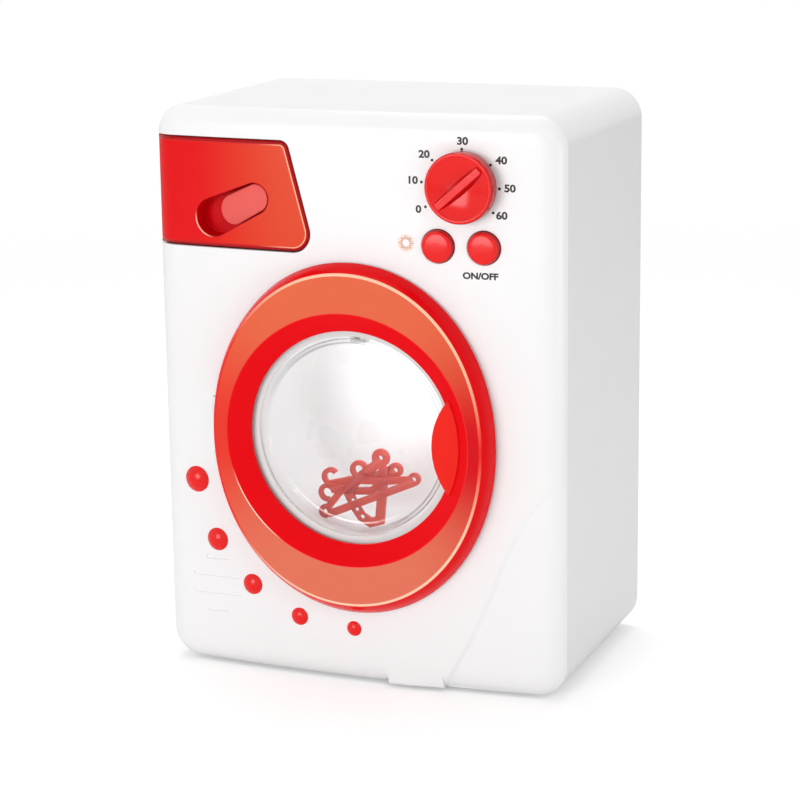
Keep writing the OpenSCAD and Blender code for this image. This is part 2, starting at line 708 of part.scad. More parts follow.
// Bezel: closed rows of points from the window's lip over the crest to the foot and back
ring_turns = [for (i = [0:ring_steps - 1]) 360 * i / ring_steps];
function circle_row(r, y) = [for (t = ring_turns) [r * cos(t), y, r * sin(t)]];
function oval_row(a, b, y, drop = 0) = [for (t = ring_turns) let (p = oval(a, b, t)) [p.x, y, p.y - drop]];
function foot_row(inset) = [for (t = ring_turns) let (p = oval(base_a - inset, base_b - inset, t))
    [p.x, face_y(p.x) - door_gap, p.y - foot_drop]];
band_t = bezel_wall + 0.4;
crest_round = 0.5;
mid_y = (crest_y + face_mid - door_gap) / 2;
bezel_rows = [
    circle_row(window_r, flange_y),
    circle_row(window_r, window_y),
    circle_row(cone_r, crest_y + crest_round),
    oval_row(crest_a - 2 * crest_round, crest_b - 2 * crest_round, crest_y),
    oval_row(crest_a, crest_b, crest_y + crest_round),
    oval_row((crest_a + base_a) / 2 + 0.3, (crest_b + base_b) / 2 + 0.3, mid_y, foot_drop / 2),
    foot_row(0),
    foot_row(bezel_wall),
    oval_row(crest_a - bezel_wall, crest_b - bezel_wall, crest_y + band_t),
    circle_row(cone_r, crest_y + crest_round + band_t),
    circle_row(lip_r, flange_y)];
module bezel_shell() {
    n = ring_steps;
    rows = len(bezel_rows);
    translate([0, 0, door_z]) polyhedron(
        points = [for (r = bezel_rows) each r],
        faces = [for (k = [0:rows - 1], i = [0:n - 1]) let (m = (k + 1) % rows, j = (i + 1) % n)
            each [[k * n + i, m * n + j, m * n + i], [k * n + i, k * n + j, m * n + j]]]);
}
door_boss_r = 2.5;
door_bosses = [for (sx = [-1, 1], sz = [-1, 1]) [sx * 20, door_z + sz * (cone_r + 6)]];
door_screw_l = 4;
door_head_h = 0.8;

module door_ring() color("red") on_case() difference() {
    union() {
        bezel_shell();
        for (b = door_bosses) rod_y(b.x, b.y, door_boss_r, crest_y + band_t / 2, back_plate_y);
    }
    box(-base_a - over, hinge_x + 5, hinge_y - notch_front, 0, door_z - notch_half_h, door_z + notch_half_h);
    for (b = door_bosses)
        rod_y(b.x, b.y, small_screw_r + screw_fit, back_plate_y - door_screw_l, back_plate_y + over);
}

module door_window() color([0.85, 0.93, 0.97, 0.35]) on_case() turned(0, door_z, [
    [0, flange_y + bowl_depth + bowl_crown], [bowl_r - 2.6, flange_y + bowl_depth],
    [bowl_r - 1.2, flange_y + bowl_depth - 1], [bowl_r, flange_y], [flange_r, flange_y],
    [flange_r, clamp_y], [bowl_r + 1.4, clamp_y], [bowl_r + 0.4, flange_y + bowl_depth - 0.6],
    [bowl_r - 1.8, flange_y + bowl_depth + glass_t], [0, flange_y + bowl_depth + bowl_crown + glass_t]]);
bowl_crown = 0.8;

clamp_in_r = bowl_r + 2.2;
module door_back() color("white") on_case() difference() {
    union() {
        slab(back_plate_y, back_plate_y + back_plate_t) difference() {
            polygon(oval_outline(plate_a, plate_b));
            translate([0, door_z]) circle(r=collar_r + collar_wall / 2);
        }
        turned(0, door_z, [[collar_r, back_plate_y], [collar_r + collar_wall, back_plate_y],
            [collar_r + collar_wall, clamp_y + clamp_t], [clamp_in_r, clamp_y + clamp_t],
            [clamp_in_r, clamp_y], [collar_r, clamp_y]]);
        rod_z(hinge_x, hinge_y, knuckle_r, door_z - knuckle_h, door_z + knuckle_h);
        box(hinge_x, 4.35 - plate_a, hinge_y, back_plate_y + back_plate_t,
            door_z - knuckle_h, door_z + knuckle_h);
        box(tongue_x, tongue_x + tongue_t, back_plate_y + 0.5, tongue_end,
            door_z - tongue_half_h, door_z + tongue_half_h);
    }
    for (z = lugs_z) box(-base_a, hinge_x + knuckle_r + 1, back_plate_y - over,
        back_plate_y + back_plate_t + over, z - lug_h / 2 - part_gap, z + lug_h / 2 + part_gap);
    rod_z(hinge_x, hinge_y, hinge_pin_r + bush_gap, door_z - knuckle_h - over, door_z + knuckle_h + over);
    for (b = door_bosses) rod_y(b.x, b.y, small_screw_r + screw_fit, back_plate_y - over, 0);
}

// Finger tab: a lens between the window's edge and a flatter arc, seated in the cone
tab_y = window_y - 1.1;
tab_arc_r = (pow(tab_h / 2, 2) + pow(tab_w * 0.6, 2)) / (2 * tab_w * 0.6);
tab_tip_x = window_r + 2 - tab_w;
tab_seat = 0.06;
function cone_at(y) = window_r + (window_y - y) * (cone_r - window_r) / (window_y - crest_y - crest_round);
module door_pull() color("tomato") on_case() intersection() {
    slab(tab_y - tab_t, tab_y) translate([tab_tip_x + tab_arc_r, door_z]) circle(r=tab_arc_r);
    turned(0, door_z, [[0, tab_y], [cone_at(tab_y) - tab_seat, tab_y],
        [cone_at(tab_y - tab_t) - tab_seat, tab_y - tab_t], [0, tab_y - tab_t]]);
}

module hinge_bracket() color("white") on_case() difference() {
    union() {
        box(hinge_x - bracket_half_w, hinge_x + bracket_half_w, bracket_y, bracket_y + bracket_t,
            door_z - bracket_half_h, door_z + bracket_half_h);
        for (z = lugs_z) {
            rod_z(hinge_x, hinge_y, knuckle_r, z - lug_h / 2, z + lug_h / 2);
            box(hinge_x - leg_left, hinge_x + knuckle_r - 0.05, hinge_y, bracket_y + over,
                z - lug_h / 2, z + lug_h / 2);
        }
    }
    rod_z(hinge_x, hinge_y, hinge_pin_r + shaft_fit, door_z - lug_z1 - over, door_z + lug_z1 + over);
    for (s = [-1, 1]) rod_y(hinge_x, door_z + s * bracket_screw_z, small_screw_r + screw_fit,
        bracket_y - over, bracket_y + bracket_t + over);
}
module hinge_pin() color("silver") on_case()
    rod_z(hinge_x, hinge_y, hinge_pin_r, door_z - lug_z1, door_z + lug_z1);

module latch_keeper() color("white") on_case() difference() {
    box(keeper_x0, keeper_x1, keeper_y, keeper_y + keeper_t, door_z - keeper_half_h, door_z + keeper_half_h);
    box(tongue_x - run_gap, tongue_x + tongue_t + tongue_swing, keeper_y - over, keeper_y + keeper_t + over,
        door_z - tongue_half_h - run_gap, door_z + tongue_half_h + run_gap);
    for (s = [-1, 1]) rod_y(keeper_screw_x, door_z + s * keeper_boss_z, small_screw_r + screw_fit,
        keeper_y - over, keeper_y + keeper_t + over);
}

module mouth_ring() color("white") on_case() difference() {
    union() {
        turned(0, door_z, [[ring_lip_r - 1.4, ring_y], [mouth_collar_r, ring_y],
            [mouth_collar_r, ring_y + ring_t],
            [ring_lip_r, ring_y + ring_t], [ring_lip_r, ring_lip_end], [ring_lip_r - 1.4, ring_lip_end]]);
        for (e = ears) rod_y(e.x, e.y, ear_r, ring_y, ring_y + ring_t);
        box(-3.5, 3.5, ring_y + 0.6, ring_lip_end, lamp_z - 3, door_z + ring_lip_r - 0.7);
    }
    rod_y(0, lamp_wire_z, lamp_wire_r + part_gap, ring_y - over, ring_y + ring_t + over);
    for (e = ears) rod_y(e.x, e.y, small_screw_r + screw_fit, ring_y - over, ring_y + ring_t + over);
    rod_y(0, lamp_z, lamp_r + shaft_fit, ring_y - over, ring_lip_end + over);
}

module drum_lamp() color("lemonchiffon") on_case() {
    rod_y(0, lamp_z, lamp_r, ring_y + 1, ring_lip_end + 1.5);
    translate([0, ring_lip_end + 1.5, lamp_z]) sphere(r=lamp_r);
}

module drum() color("white") on_case() turned(0, door_z, [
    [0, drum_back - drum_wall], [drum_r - 3, drum_back - drum_wall], [drum_r, drum_back - drum_wall - 3],
    [drum_r, drum_y], [drum_r + drum_wall, drum_y], [drum_r + drum_wall, drum_back - 2.4],
    [drum_r - 1.8, drum_back], [hub_r, drum_back], [hub_r, drum_back + hub_l],
    [shaft_r + bush_gap, drum_back + hub_l], [shaft_r + bush_gap, shaft_y0], [0, shaft_y0]]);
module drum_shaft() color("silver") on_case() rod_y(0, door_z, shaft_r, shaft_y0, gear_end + 0.5);
module drum_bush() color("goldenrod") on_case() turned(0, door_z, [
    [shaft_r + shaft_fit, chassis_y - bush_flange_t], [bush_flange_r, chassis_y - bush_flange_t],
    [bush_flange_r, chassis_y], [bush_r, chassis_y], [bush_r, chassis_back],
        [shaft_r + shaft_fit, chassis_back]]);

// Involute wheel with a tooth centred at the angle given
function inv(a) = tan(a) * 180 / PI - a;
function tooth_half(n, r) = let (p = gear_m * n / 2, b = p * cos(pressure))
    90 / n - backlash / 4 / p * 180 / PI + inv(pressure) - (r > b ? inv(acos(b / r)) : 0);
module wheel(n, angle) {
    root = gear_m * (n / 2 - dedendum);
    tip = gear_m * (n / 2 + addendum);
    base = max(root + 0.05, gear_m * n / 2 * cos(pressure));
    radii = [root, base, (2 * base + tip) / 3, (base + 2 * tip) / 3, tip];
    flank = [for (r = radii) [r, tooth_half(n, r)]];
    polygon([for (k = [0:n - 1]) let (a = angle + 360 * k / n) each concat(
        [for (f = flank) f[0] * [cos(a - f[1]), sin(a - f[1])]],
        [for (i = [len(flank) - 1:-1:0]) flank[i][0] * [cos(a + flank[i][1]), sin(a + flank[i][1])]])]);
}
module wheel_at(at, n, angle, y0, y1) slab(y0, y1) translate(at) wheel(n, angle);

module drum_gear() color("ivory") on_case() difference() {
    union() {
        wheel_at([0, door_z], drum_teeth, 0, gear_y, gear_end);
        rod_y(0, door_z, hub_r, chassis_back + 0.5, gear_y + over);
    }
    rod_y(0, door_z, shaft_r + bush_gap, chassis_back, gear_end + over);
}
module idler_gear() color("ivory") on_case() difference() {
    union() {
        wheel_at(idler_at, small_teeth, idler_angle + 180 + 180 / small_teeth, chassis_back + 0.8, large_y
            + over);
        wheel_at(idler_at, large_teeth, motor_angle, large_y, large_y + large_t);
        rod_y(idler_at.x, idler_at.y, 3.5, large_y, plate_y - part_gap);
    }
    rod_y(idler_at.x, idler_at.y, idler_pin_r + shaft_fit, chassis_back, plate_y);
}
module idler_pin() color("silver") on_case()
    rod_y(idler_at.x, idler_at.y, idler_pin_r, chassis_y + 0.6, plate_y + plate_t - 0.6);
module motor_pinion() color("ivory") on_case() difference() {
    wheel_at(motor_at, pinion_teeth, motor_angle + 180 + 180 / pinion_teeth, large_y - 0.6, large_y
        + large_t + 1);
    rod_y(motor_at.x, motor_at.y, motor_shaft_r + bush_gap, large_y - over, plate_y);
}
module motor_shaft() color("silver") on_case()
    rod_y(motor_at.x, motor_at.y, motor_shaft_r, large_y - 1, motor_y + motor_l - 5);
motor_y = plate_y + plate_t;
module motor() color("silver") on_case() difference() {
    union() {
        intersection() {
            rod_y(motor_at.x, motor_at.y, motor_r, motor_y, motor_y + motor_l);
            box(motor_at.x - motor_r, motor_at.x + motor_r, motor_y, motor_y + motor_l,
                motor_at.y - motor_flat, motor_at.y + motor_flat);
        }
        rod_y(motor_at.x, motor_at.y, motor_nose_r, motor_y - motor_nose_l, motor_y + over);
    }
    rod_y(motor_at.x, motor_at.y, motor_shaft_r + shaft_fit, motor_y - motor_nose_l - over, motor_y
        + motor_l - 4);
}

module chassis() color("gainsboro") on_case() difference() {
    union() {
        slab(chassis_y, chassis_back)
            polygon(rounded_box(-chassis_half_w, chassis_z0, chassis_half_w, chassis_z1, 6));
        for (p = plate_posts) rod_y(p.x, p.y, plate_post_r, chassis_y + over, plate_y);
    }
    rod_y(0, door_z, bush_r + bush_gap, chassis_y - over, chassis_back + over);
    rod_y(idler_at.x, idler_at.y, idler_pin_r + bush_gap, chassis_y + 0.6, chassis_back + over);
    for (p = plate_posts) rod_y(p.x, p.y, small_screw_r + screw_fit, plate_y - drive_screw_l, plate_y + over);
    for (p = chassis_posts) rod_y(p.x, p.y, small_screw_r + screw_fit, chassis_y - over, chassis_back + over);
    for (h = [[-50, -34], [-50, 34], [50, -34]])
        rod_y(h.x, door_z + h.y, 9, chassis_y - over, chassis_back + over);
}
plate_margin = 6;
module gear_plate() color("gainsboro") on_case() difference() {
    union() {
        slab(plate_y, plate_y + plate_t) polygon(rounded([
            [plate_posts[0].x - plate_margin, plate_posts[0].y - plate_margin, plate_post_r],
            [plate_posts[2].x + plate_margin, plate_posts[2].y - plate_margin, plate_post_r],
            [plate_posts[3].x + plate_margin, plate_posts[3].y + plate_margin, plate_post_r],
            [plate_posts[1].x - plate_margin, plate_posts[1].y + plate_margin, plate_post_r]]));
        rod_y(motor_at.x, motor_at.y, motor_r + part_gap + 1.6, plate_y, motor_y + 8);
    }
    rod_y(motor_at.x, motor_at.y, motor_r + part_gap, motor_y, motor_y + 8 + over);
    rod_y(motor_at.x, motor_at.y, motor_nose_r + bush_gap, plate_y - over, motor_y + over);
    rod_y(idler_at.x, idler_at.y, idler_pin_r + bush_gap, plate_y - over, plate_y + plate_t - 0.6);
    for (p = plate_posts) rod_y(p.x, p.y, small_screw_r + screw_fit, plate_y - over, plate_y + plate_t
        + over);
}

// Drawer: the front wears the case's own skin, with a finger recess let into it
function recess_outline(grow) = tapered(pit, pit_r + grow, pit_end, pit_end_r + grow);
module ramp() intersection() {
    slab(face_mid, recess_y + tray_wall / 2) polygon(tapered(ramp_foot, ramp_foot_r, pit_end, ramp_end_r));
    translate([0, 0, drawer_z]) linear_extrude(drawer_h) polygon([
        [ramp_foot.x - ramp_foot_r, face_y(ramp_foot.x - ramp_foot_r) + ramp_low],
        [pit_end.x + pit_end_r, face_y(pit_end.x + pit_end_r) + ramp_high],
        [pit_end.x + pit_end_r, over * 5], [ramp_foot.x - ramp_foot_r, over * 5]]);
}
module drawer_front() color("red") on_case() {
    difference() {
        union() {
            difference() {
                intersection() {
                    difference() {
                        skin_body(0);
                        skin_body(wall);
                    }
                    slab(face_mid - over, over) polygon(drawer_outline(-drawer_gap));
                }
                plan_behind(drawer_gap);
            }
            intersection() {
                slab(face_mid, recess_y + tray_wall) polygon(recess_outline(tray_wall));
                union() {
                    skin_body(wall / 2);
                    plan_behind(over);
                }
            }
            for (l = links) rod_y(l.x, l.y, link_r, face_y(l.x) + wall * 0.6, tray_y);
        }
        slab(face_mid - over, recess_y) polygon(recess_outline(0));
        for (l = links)
            rod_y(l.x, l.y, small_screw_r + screw_fit, tray_y - link_screw_l - screw_room, tray_y + over);
    }
    ramp();
}
module drawer_tray() color("white") on_case() {
    difference() {
        box(tray_x0, tray_x1, tray_y, tray_y + tray_l, tray_z0, tray_z1);
        box(tray_x0 + tray_wall, tray_x1 - tray_wall, tray_y + tray_wall, tray_y + tray_l - tray_wall,
            tray_z0 + tray_wall, tray_z1 + over);
        for (l = links) rod_y(l.x, l.y, small_screw_r + screw_fit, tray_y - over, tray_y + tray_wall + over);
    }
    translate([tray_x0 + (tray_x1 - tray_x0) * tray_divider, 0, 0])
        box(0, tray_wall, tray_y + over, tray_y + tray_l - over, tray_z0 + over, tray_z1 - 6);
    box(tray_x0 - stop_h, tray_x0 + over / 2, stop_y, stop_y + stop_l, stop_z - stop_half, stop_z
        + stop_half);
    box(tray_x1 - over / 2, tray_x1 + stop_h, stop_y, stop_y + stop_l, stop_z - stop_half, stop_z
        + stop_half);
}
module drawer_guide() color("white") on_case() difference() {
    union() {
        box(guide_x0, guide_x1, guide_y, guide_y + guide_l, guide_z0, guide_z1);
        slab(guide_y, guide_y + tray_wall) polygon(rounded([[guide_x1 - 4, guide_z0 + 0.5, 0],
            [guide_bosses[0].x + 5, guide_bosses[0].y - 5, 4],
                [guide_bosses[0].x + 4, guide_bosses[0].y + 6, 4],
            [guide_bosses[1].x + 4, guide_bosses[1].y + 5, 4], [guide_x1 - 4, guide_z1 - 0.5, 0]]));
        slab(guide_y, guide_y + tray_wall) polygon(rounded([
            [guide_bosses[2].x - 7, guide_z1 - over, 0], [guide_bosses[2].x + 7, guide_z1 - over, 0],
            [guide_bosses[2].x + 4, guide_bosses[2].y + 4, 3],
                [guide_bosses[2].x - 4, guide_bosses[2].y + 4, 3]]));
    }
    box(tray_x0 - run_gap, tray_x1 + run_gap, guide_y - over, guide_y + guide_l + over,
        tray_z0 - run_gap, tray_z1 + run_gap);
    box(guide_x0 - over, guide_x1 + over, stop_y - tray_travel - part_gap, stop_y + stop_l + part_gap,
        stop_z - stop_half - run_gap, stop_z + stop_half + run_gap);
    for (b = guide_bosses)
        rod_y(b.x, b.y, small_screw_r + screw_fit, guide_y - over, guide_y + tray_wall + over);
}
module tray_screws() color("silver") on_case()
    for (l = links) screw(l.x, l.y, tray_y + tray_wall, tray_wall + link_screw_l);

// Dial: a dished knob with a grip bar, its ratchet and the leaf that clicks on it
module dial_knob() color("red") on_case() difference() {
    union() {
        turned(dial_x, dial_z, [[0, knob_front + dish_depth], [5.5, knob_front + 0.93 * dish_depth],
            [10, knob_front + 0.6 * dish_depth],
            [dial_r - 1.8, knob_front + 0.5], [dial_r - 1.2, knob_front], [dial_r - 0.6, knob_front + 0.1],
            [dial_r, knob_front + 0.8], [dial_r, knob_back], [dial_r - skirt_t, knob_back],
            [dial_r - skirt_t, knob_back - skirt_h], [stem_r, knob_back - skirt_h], [stem_r, stem_end],
            [0, stem_end]]);
        intersection() {
            translate([dial_x, 0, dial_z]) rotate([0, -grip_angle, 0])
                box(-dial_r, dial_r, knob_front + 0.2, knob_back - skirt_h - 0.6, -grip_w / 2, grip_w / 2);
            rod_y(dial_x, dial_z, dial_r - 1, knob_front, knob_back);
        }
    }
    rod_y(dial_x, dial_z, small_screw_r + screw_fit, stem_end - dial_screw_l, stem_end + over);
}
module dial_ratchet() color("ivory") on_case() difference() {
    rod_y(dial_x, dial_z, ratchet_r, ratchet_y, stem_end);
    rod_y(dial_x, dial_z, stem_r + bush_gap, ratchet_y - over, stem_end + over);
    for (k = [0:ratchet_notches - 1]) let (a = 90 + (k + 0.5) * 360 / ratchet_notches)
        rod_y(dial_x + (ratchet_r + 0.2) * cos(a), dial_z + (ratchet_r + 0.2) * sin(a), 0.9,
            ratchet_y - over, stem_end + over);
}
module dial_screw() color("silver") on_case()
    screw(dial_x, dial_z, stem_end, dial_screw_l - screw_room, head_r=dial_head_r);
module dial_click_spring() color("gainsboro") on_case() difference() {
    union() {
        box(dial_x - leaf_tip_r, leaf_post.x - board_boss_r - part_gap, ratchet_y, stem_end + leaf_foot_t,
            leaf_z, leaf_z + leaf_t);
        rod_y(dial_x, leaf_z - leaf_tip_r + 0.02, leaf_tip_r, ratchet_y + 0.1, stem_end - 0.1);
        box(leaf_post.x - 5.5, leaf_post.x + 3, stem_end, stem_end + leaf_foot_t, leaf_post.y - 3,
            leaf_post.y + 3);
    }
    rod_y(leaf_post.x, leaf_post.y, small_screw_r + screw_fit, stem_end - over, stem_end + leaf_foot_t
        + over);
}

// Buttons, their springs and the switches they press
function flange_front(x) = face_y(x + button_flange_r) + wall + part_gap;
function flange_back(x) = flange_front(x) + button_flange_t;
switch_y = board_y - switch_h;
plunger_y = switch_y - plunger_h;
stem_tip = plunger_y - button_travel - 0.1;
module button(x) on_case() turned(x, button_z, let (f = face_y(x) - button_rise) [[0, f - 0.15],
    [3, f - 0.1], [button_r - 1.4, f + 0.15], [button_r - 0.5, f + 0.6], [button_r, f + 1.4],
    [button_r, flange_front(x)], [button_flange_r, flange_front(x)], [button_flange_r, flange_back(x)],
    [button_stem_r, flange_back(x)], [button_stem_r, stem_tip], [0, stem_tip]]);
module button_spring(x) on_case() sweep([for (i = [0:spring_turns * 16])
    let (a = i * 360 / 16, t = i / (spring_turns * 16), y0 = flange_back(x) + spring_wire_r + 0.05,
        y1 = board_y - spring_wire_r - 0.05)
    [x + spring_r * cos(a), y0 + (y1 - y0) * t, button_z + spring_r * sin(a)]], spring_wire_r, 8);
module light_button() color("red") button(button_x[0]);
module power_button() color("red") button(button_x[1]);
module light_button_spring() color("silver") button_spring(button_x[0]);
module power_button_spring() color("silver") button_spring(button_x[1]);

module control_board() color("seagreen") on_case() {
    difference() {
        slab(board_y, board_y + board_t) polygon(rounded_box(board_x0, board_z0, board_x1, board_z1, 2));
        for (b = board_bosses)
            rod_y(b.x, b.y, small_screw_r + screw_fit, board_y - over, board_y + board_t + over);
    }
    translate([(board_x0 + board_x1) / 2, 0, button_z - 0.2])
        box(-chip_half, chip_half, board_y + board_t / 2, board_y + board_t + chip_t, -chip_half, chip_half);
}
module tact_switches() color("dimgray") on_case() for (x = button_x) {
    box(x - 3, x + 3, switch_y, board_y, button_z - 3, button_z + 3);
    rod_y(x, button_z, plunger_r, plunger_y, switch_y + over);
}
module speaker() color("dimgray") on_case() turned(speaker_x, speaker_z, [
    [0, back_inner - speaker_h - magnet_h], [magnet_r, back_inner - speaker_h - magnet_h],
    [magnet_r, back_inner - speaker_h], [speaker_r, back_inner - speaker_h], [speaker_r, back_inner],
    [speaker_r - 2, back_inner], [5, back_inner - 2.6], [0, back_inner - 1.6]]);
module speaker_clamp() color("gainsboro") on_case() difference() {
    slab(back_inner - speaker_h - 1.5, back_inner - speaker_h) translate([speaker_x, speaker_z]) union() {
        circle(r=speaker_r - 1.5);
        translate([-clamp_arm - 3, -3]) square([2 * clamp_arm + 6, 6]);
    }
    rod_y(speaker_x, speaker_z, magnet_r + part_gap, back_inner - speaker_h - 2 * over, back_inner);
    for (s = [-1, 1]) rod_y(speaker_x + s * clamp_arm, speaker_z, small_screw_r + screw_fit,
        back_inner - speaker_h - 3 * over, back_inner);
}

// Battery box with three cells, their contacts and the door in the back
function cell_z(k) = box_z0 + box_wall + 0.3 + cell_pitch * (k + 0.5);
module battery_box() color("gainsboro") on_case() difference() {
    union() {
        box(-box_half_w, box_half_w, box_y, back_inner, box_z0, box_z1);
        for (z = [box_ears[0].y, box_ears[1].y])
            box(-box_ear_x - 3, box_ear_x + 3, box_ear_y - box_ear_t, box_ear_y, z - 3, z + 3);
    }
    box(-box_half_w + box_wall, box_half_w - box_wall, box_y + box_wall, back_inner + over,
        box_z0 + box_wall, box_z1 - box_wall);
    for (e = box_ears) rod_y(e.x, e.y, small_screw_r + screw_fit, box_ear_y - box_ear_t - over, box_ear_y
        + over);
}
module battery_cells() color("goldenrod") on_case() for (k = [0:cell_count - 1])
    let (s = k % 2 == 0 ? 1 : -1) {
    translate([-s * 0.5, 0, 0]) rod_x(cell_y, cell_z(k), cell_r, -cell_l / 2 + 0.5, cell_l / 2 - 0.5);
    translate([s > 0 ? cell_l / 2 - 1.2 : -cell_l / 2, 0, 0]) rod_x(cell_y, cell_z(k), 2.75, 0, 1.2);
}
module battery_contacts() color("silver") on_case() for (k = [0:cell_count - 1], s = [-1, 1])
    translate([s * (box_half_w - box_wall - 0.3), cell_y, cell_z(k)]) {
        box(-0.25, 0.25, -5, 5, -5, 5);
        if (s * (k % 2 == 0 ? 1 : -1) > 0) rod_x(0, 0, 2, s > 0 ? -3.2 : 0, s > 0 ? 0 : 3.2);
        else sweep([for (i = [0:36]) let (r = 4 - i / 18)
            [-s * (0.35 + 2.9 * i / 36), r * cos(30 * i), r * sin(30 * i)]], 0.3, 6);
    }
module battery_door() color("whitesmoke") on_case() difference() {
    union() {
        box(-hatch_half_w, hatch_half_w, hatch_y, hatch_y + hatch_t, hatch_axis_z, hatch_z1);
        rod_x(hatch_axis_y, hatch_axis_z, hatch_nose_r, -hatch_half_w, hatch_half_w);
        rod_x(hatch_axis_y, hatch_axis_z, hatch_pin_r, -hatch_half_w - hatch_pin_l, hatch_half_w
            + hatch_pin_l);
    }
    rod_y(0, hatch_screw_z, hatch_screw_r + screw_fit, hatch_y - over, case_d + over);
    rod_y(0, hatch_screw_z, hatch_head_r + screw_fit, hatch_y + hatch_t - hatch_head_h, case_d + over);
}
module battery_door_screw() color("silver") on_case()
    screw(0, hatch_screw_z, hatch_y + hatch_t - hatch_head_h,
    hatch_screw_l, shank_r=hatch_screw_r, head_r=hatch_head_r, head_h=hatch_head_h);

// Bubbles: domes on the front, each held by a peg spread behind the wall
module bubble(k) color("red") on_case() bubble_place(bubbles[k]) {
    r = bubbles[k][2];
    h = bubble_rise * r;
    dome_r = (r * r + h * h) / (2 * h);
    intersection() {
        translate([0, dome_r - h - bubble_seat, 0]) sphere(r=dome_r);
        rod_y(0, 0, r, -h - over, -bubble_seat);
    }
    rod_y(0, 0, bubble_peg_r, -h / 2, bubble_peg_l);
    rod_y(0, 0, bubble_peg_r + 0.8, wall + 0.1, bubble_peg_l);
}
module bubble_1() bubble(0);
module bubble_2() bubble(1);
module bubble_3() bubble(2);
module bubble_4() bubble(3);
module bubble_5() bubble(4);

module case_screws() color("silver") on_case() for (p = posts)
    screw(p.x, p.y, post_y + post_web, case_screw_l,
    shank_r=case_screw_r, head_r=case_screw_head_r, head_h=case_screw_head_h);
module small_screws() color("silver") on_case() {
    for (b = guide_bosses) screw(b.x, b.y, guide_y + tray_wall, tray_wall + small_screw_l - screw_room);
    for (b = board_bosses) screw(b.x, b.y, board_y + board_t, board_t + small_screw_l - screw_room);
    for (e = ears) screw(e.x, e.y, ring_y + ring_t, ring_t + ear_screw_l - screw_room);
    for (s = [-1, 1]) {
        screw(keeper_screw_x, door_z + s * keeper_boss_z, keeper_y + keeper_t,
            keeper_t + small_screw_l - screw_room);
        screw(hinge_x, door_z + s * bracket_screw_z, bracket_y + bracket_t,
            bracket_t + small_screw_l - screw_room);
        screw(speaker_x + s * clamp_arm, speaker_z, back_inner - speaker_h - 1.5, 1.5
            + speaker_h - screw_room, -1);
    }
    screw(leaf_post.x, leaf_post.y, stem_end + leaf_foot_t, leaf_foot_t + ear_screw_l - screw_room);
    for (e = box_ears) screw(e.x, e.y, box_ear_y - box_ear_t, box_ear_t + 4 - screw_room, -1);
}
module drive_screws() color("silver") on_case() {
    for (p = chassis_posts) screw(p.x, p.y, chassis_y, plate_t + drive_screw_l - screw_room, -1);
    for (p = plate_posts) screw(p.x, p.y, plate_y + plate_t, plate_t + drive_screw_l - screw_room);
}
module door_screws() color("silver") on_case() for (b = door_bosses)
    screw(b.x, b.y, back_plate_y + back_plate_t, back_plate_t + door_screw_l - screw_room,
        head_h=door_head_h);

// Leads between the battery box, the motor, the speaker, the lamp and the board
lead_r = 0.8;
board_back = board_y + board_t;
module lead(p, r=lead_r) on_case() sweep(spline(p, 5), r, 8);
// A lead's end on the board, and the points straight behind it
function board_end(x, z) = [for (d = [5, 2, 0.05]) [x, board_back + d, z]];
module battery_lead() color("crimson") lead(concat([[26, 94, box_z1 + 0.05], [26.4, 94, box_z1 + 2],
    [30, 93, box_z1 + 7.4], [60, 88, 78], [84, 80, 90], [87, 75, 120], [87, 68, 170], [80, 40, 190],
    [69, 18, 196]], board_end(66, 195)));
motor_end = [motor_at.x, motor_y + motor_l, motor_at.y + 4];
module motor_lead() color("royalblue") lead(concat([for (d = [0.05, 1.5, 3]) motor_end + [0, d, 0]], [
    motor_end + [3, 4.4, 7.8], [66, 98, 142], [81, 84, 158], [80, 62, 176], [70, 34, 192], [62, 18, 196]],
    board_end(60, 195)));
speaker_end = [speaker_x, back_inner - speaker_h - magnet_h, speaker_z + 4];
module speaker_lead() color("goldenrod") lead(concat([speaker_end - [0, 0.05, 0], speaker_end - [0, 2, 0],
    [43, 88, 217], [46, 50, 219], [50, 22, 210]], board_end(54, 203)));
module lamp_lead() color("royalblue") lead(concat([[0, ring_y + 1 - 0.05, lamp_z],
    [0, ring_y - 1.5, lamp_z + 2], [0, ring_y - 1.6, lamp_wire_z - 4], [0, ring_y - 1.1, lamp_wire_z - 0.6],
    [0, ring_y + 0.3, lamp_wire_z], [0, ring_y + ring_t + 0.3, lamp_wire_z],
    [0.3, ring_y + ring_t + 2.2, lamp_wire_z + 1.5], [2, 3, lamp_wire_z + 6], [12, 6, 180],
    [24, 13, 194]], board_end(31, 201)), lamp_wire_r);

// Hangers that lie in the drum, each a flat outline of bars, loops and a hook, whose points are
// measured from the drum's axis
hanger_t = 1.8;
loop_bore = 1.1;
hook_r = 4.2;
hook_bore = 2.1;
// Unit normal of the stretch of a line that starts at point i
function side(p, i) = let (d = p[i + 1] - p[i]) [-d.y, d.x] / norm(d);
// Normal at point i, lengthened at a bend so that both stretches keep their width
function mitre(p, i) = i == 0 ? side(p, 0)
    : i == len(p) - 1 ? side(p, i - 1)
    : let (m = side(p, i - 1) + side(p, i)) 2 * m / (m * m);
module bar(p, w) linear_extrude(hanger_t) polygon(concat(
    [for (i = [0:len(p) - 1]) p[i] + mitre(p, i) * w / 2],
    [for (i = [len(p) - 1:-1:0]) p[i] - mitre(p, i) * w / 2]));
module hook(c, a) translate(c) difference() {
    cylinder(r=hook_r, h=hanger_t);
    translate([0, 0, -over]) cylinder(r=hook_bore, h=hanger_t + 2 * over);
    translate([0, 0, -over]) linear_extrude(hanger_t + 2 * over)
        polygon(concat([[0, 0]], [for (t = [0, -35, -70]) 2 * hook_r * [cos(a + t), sin(a + t)]]));
}
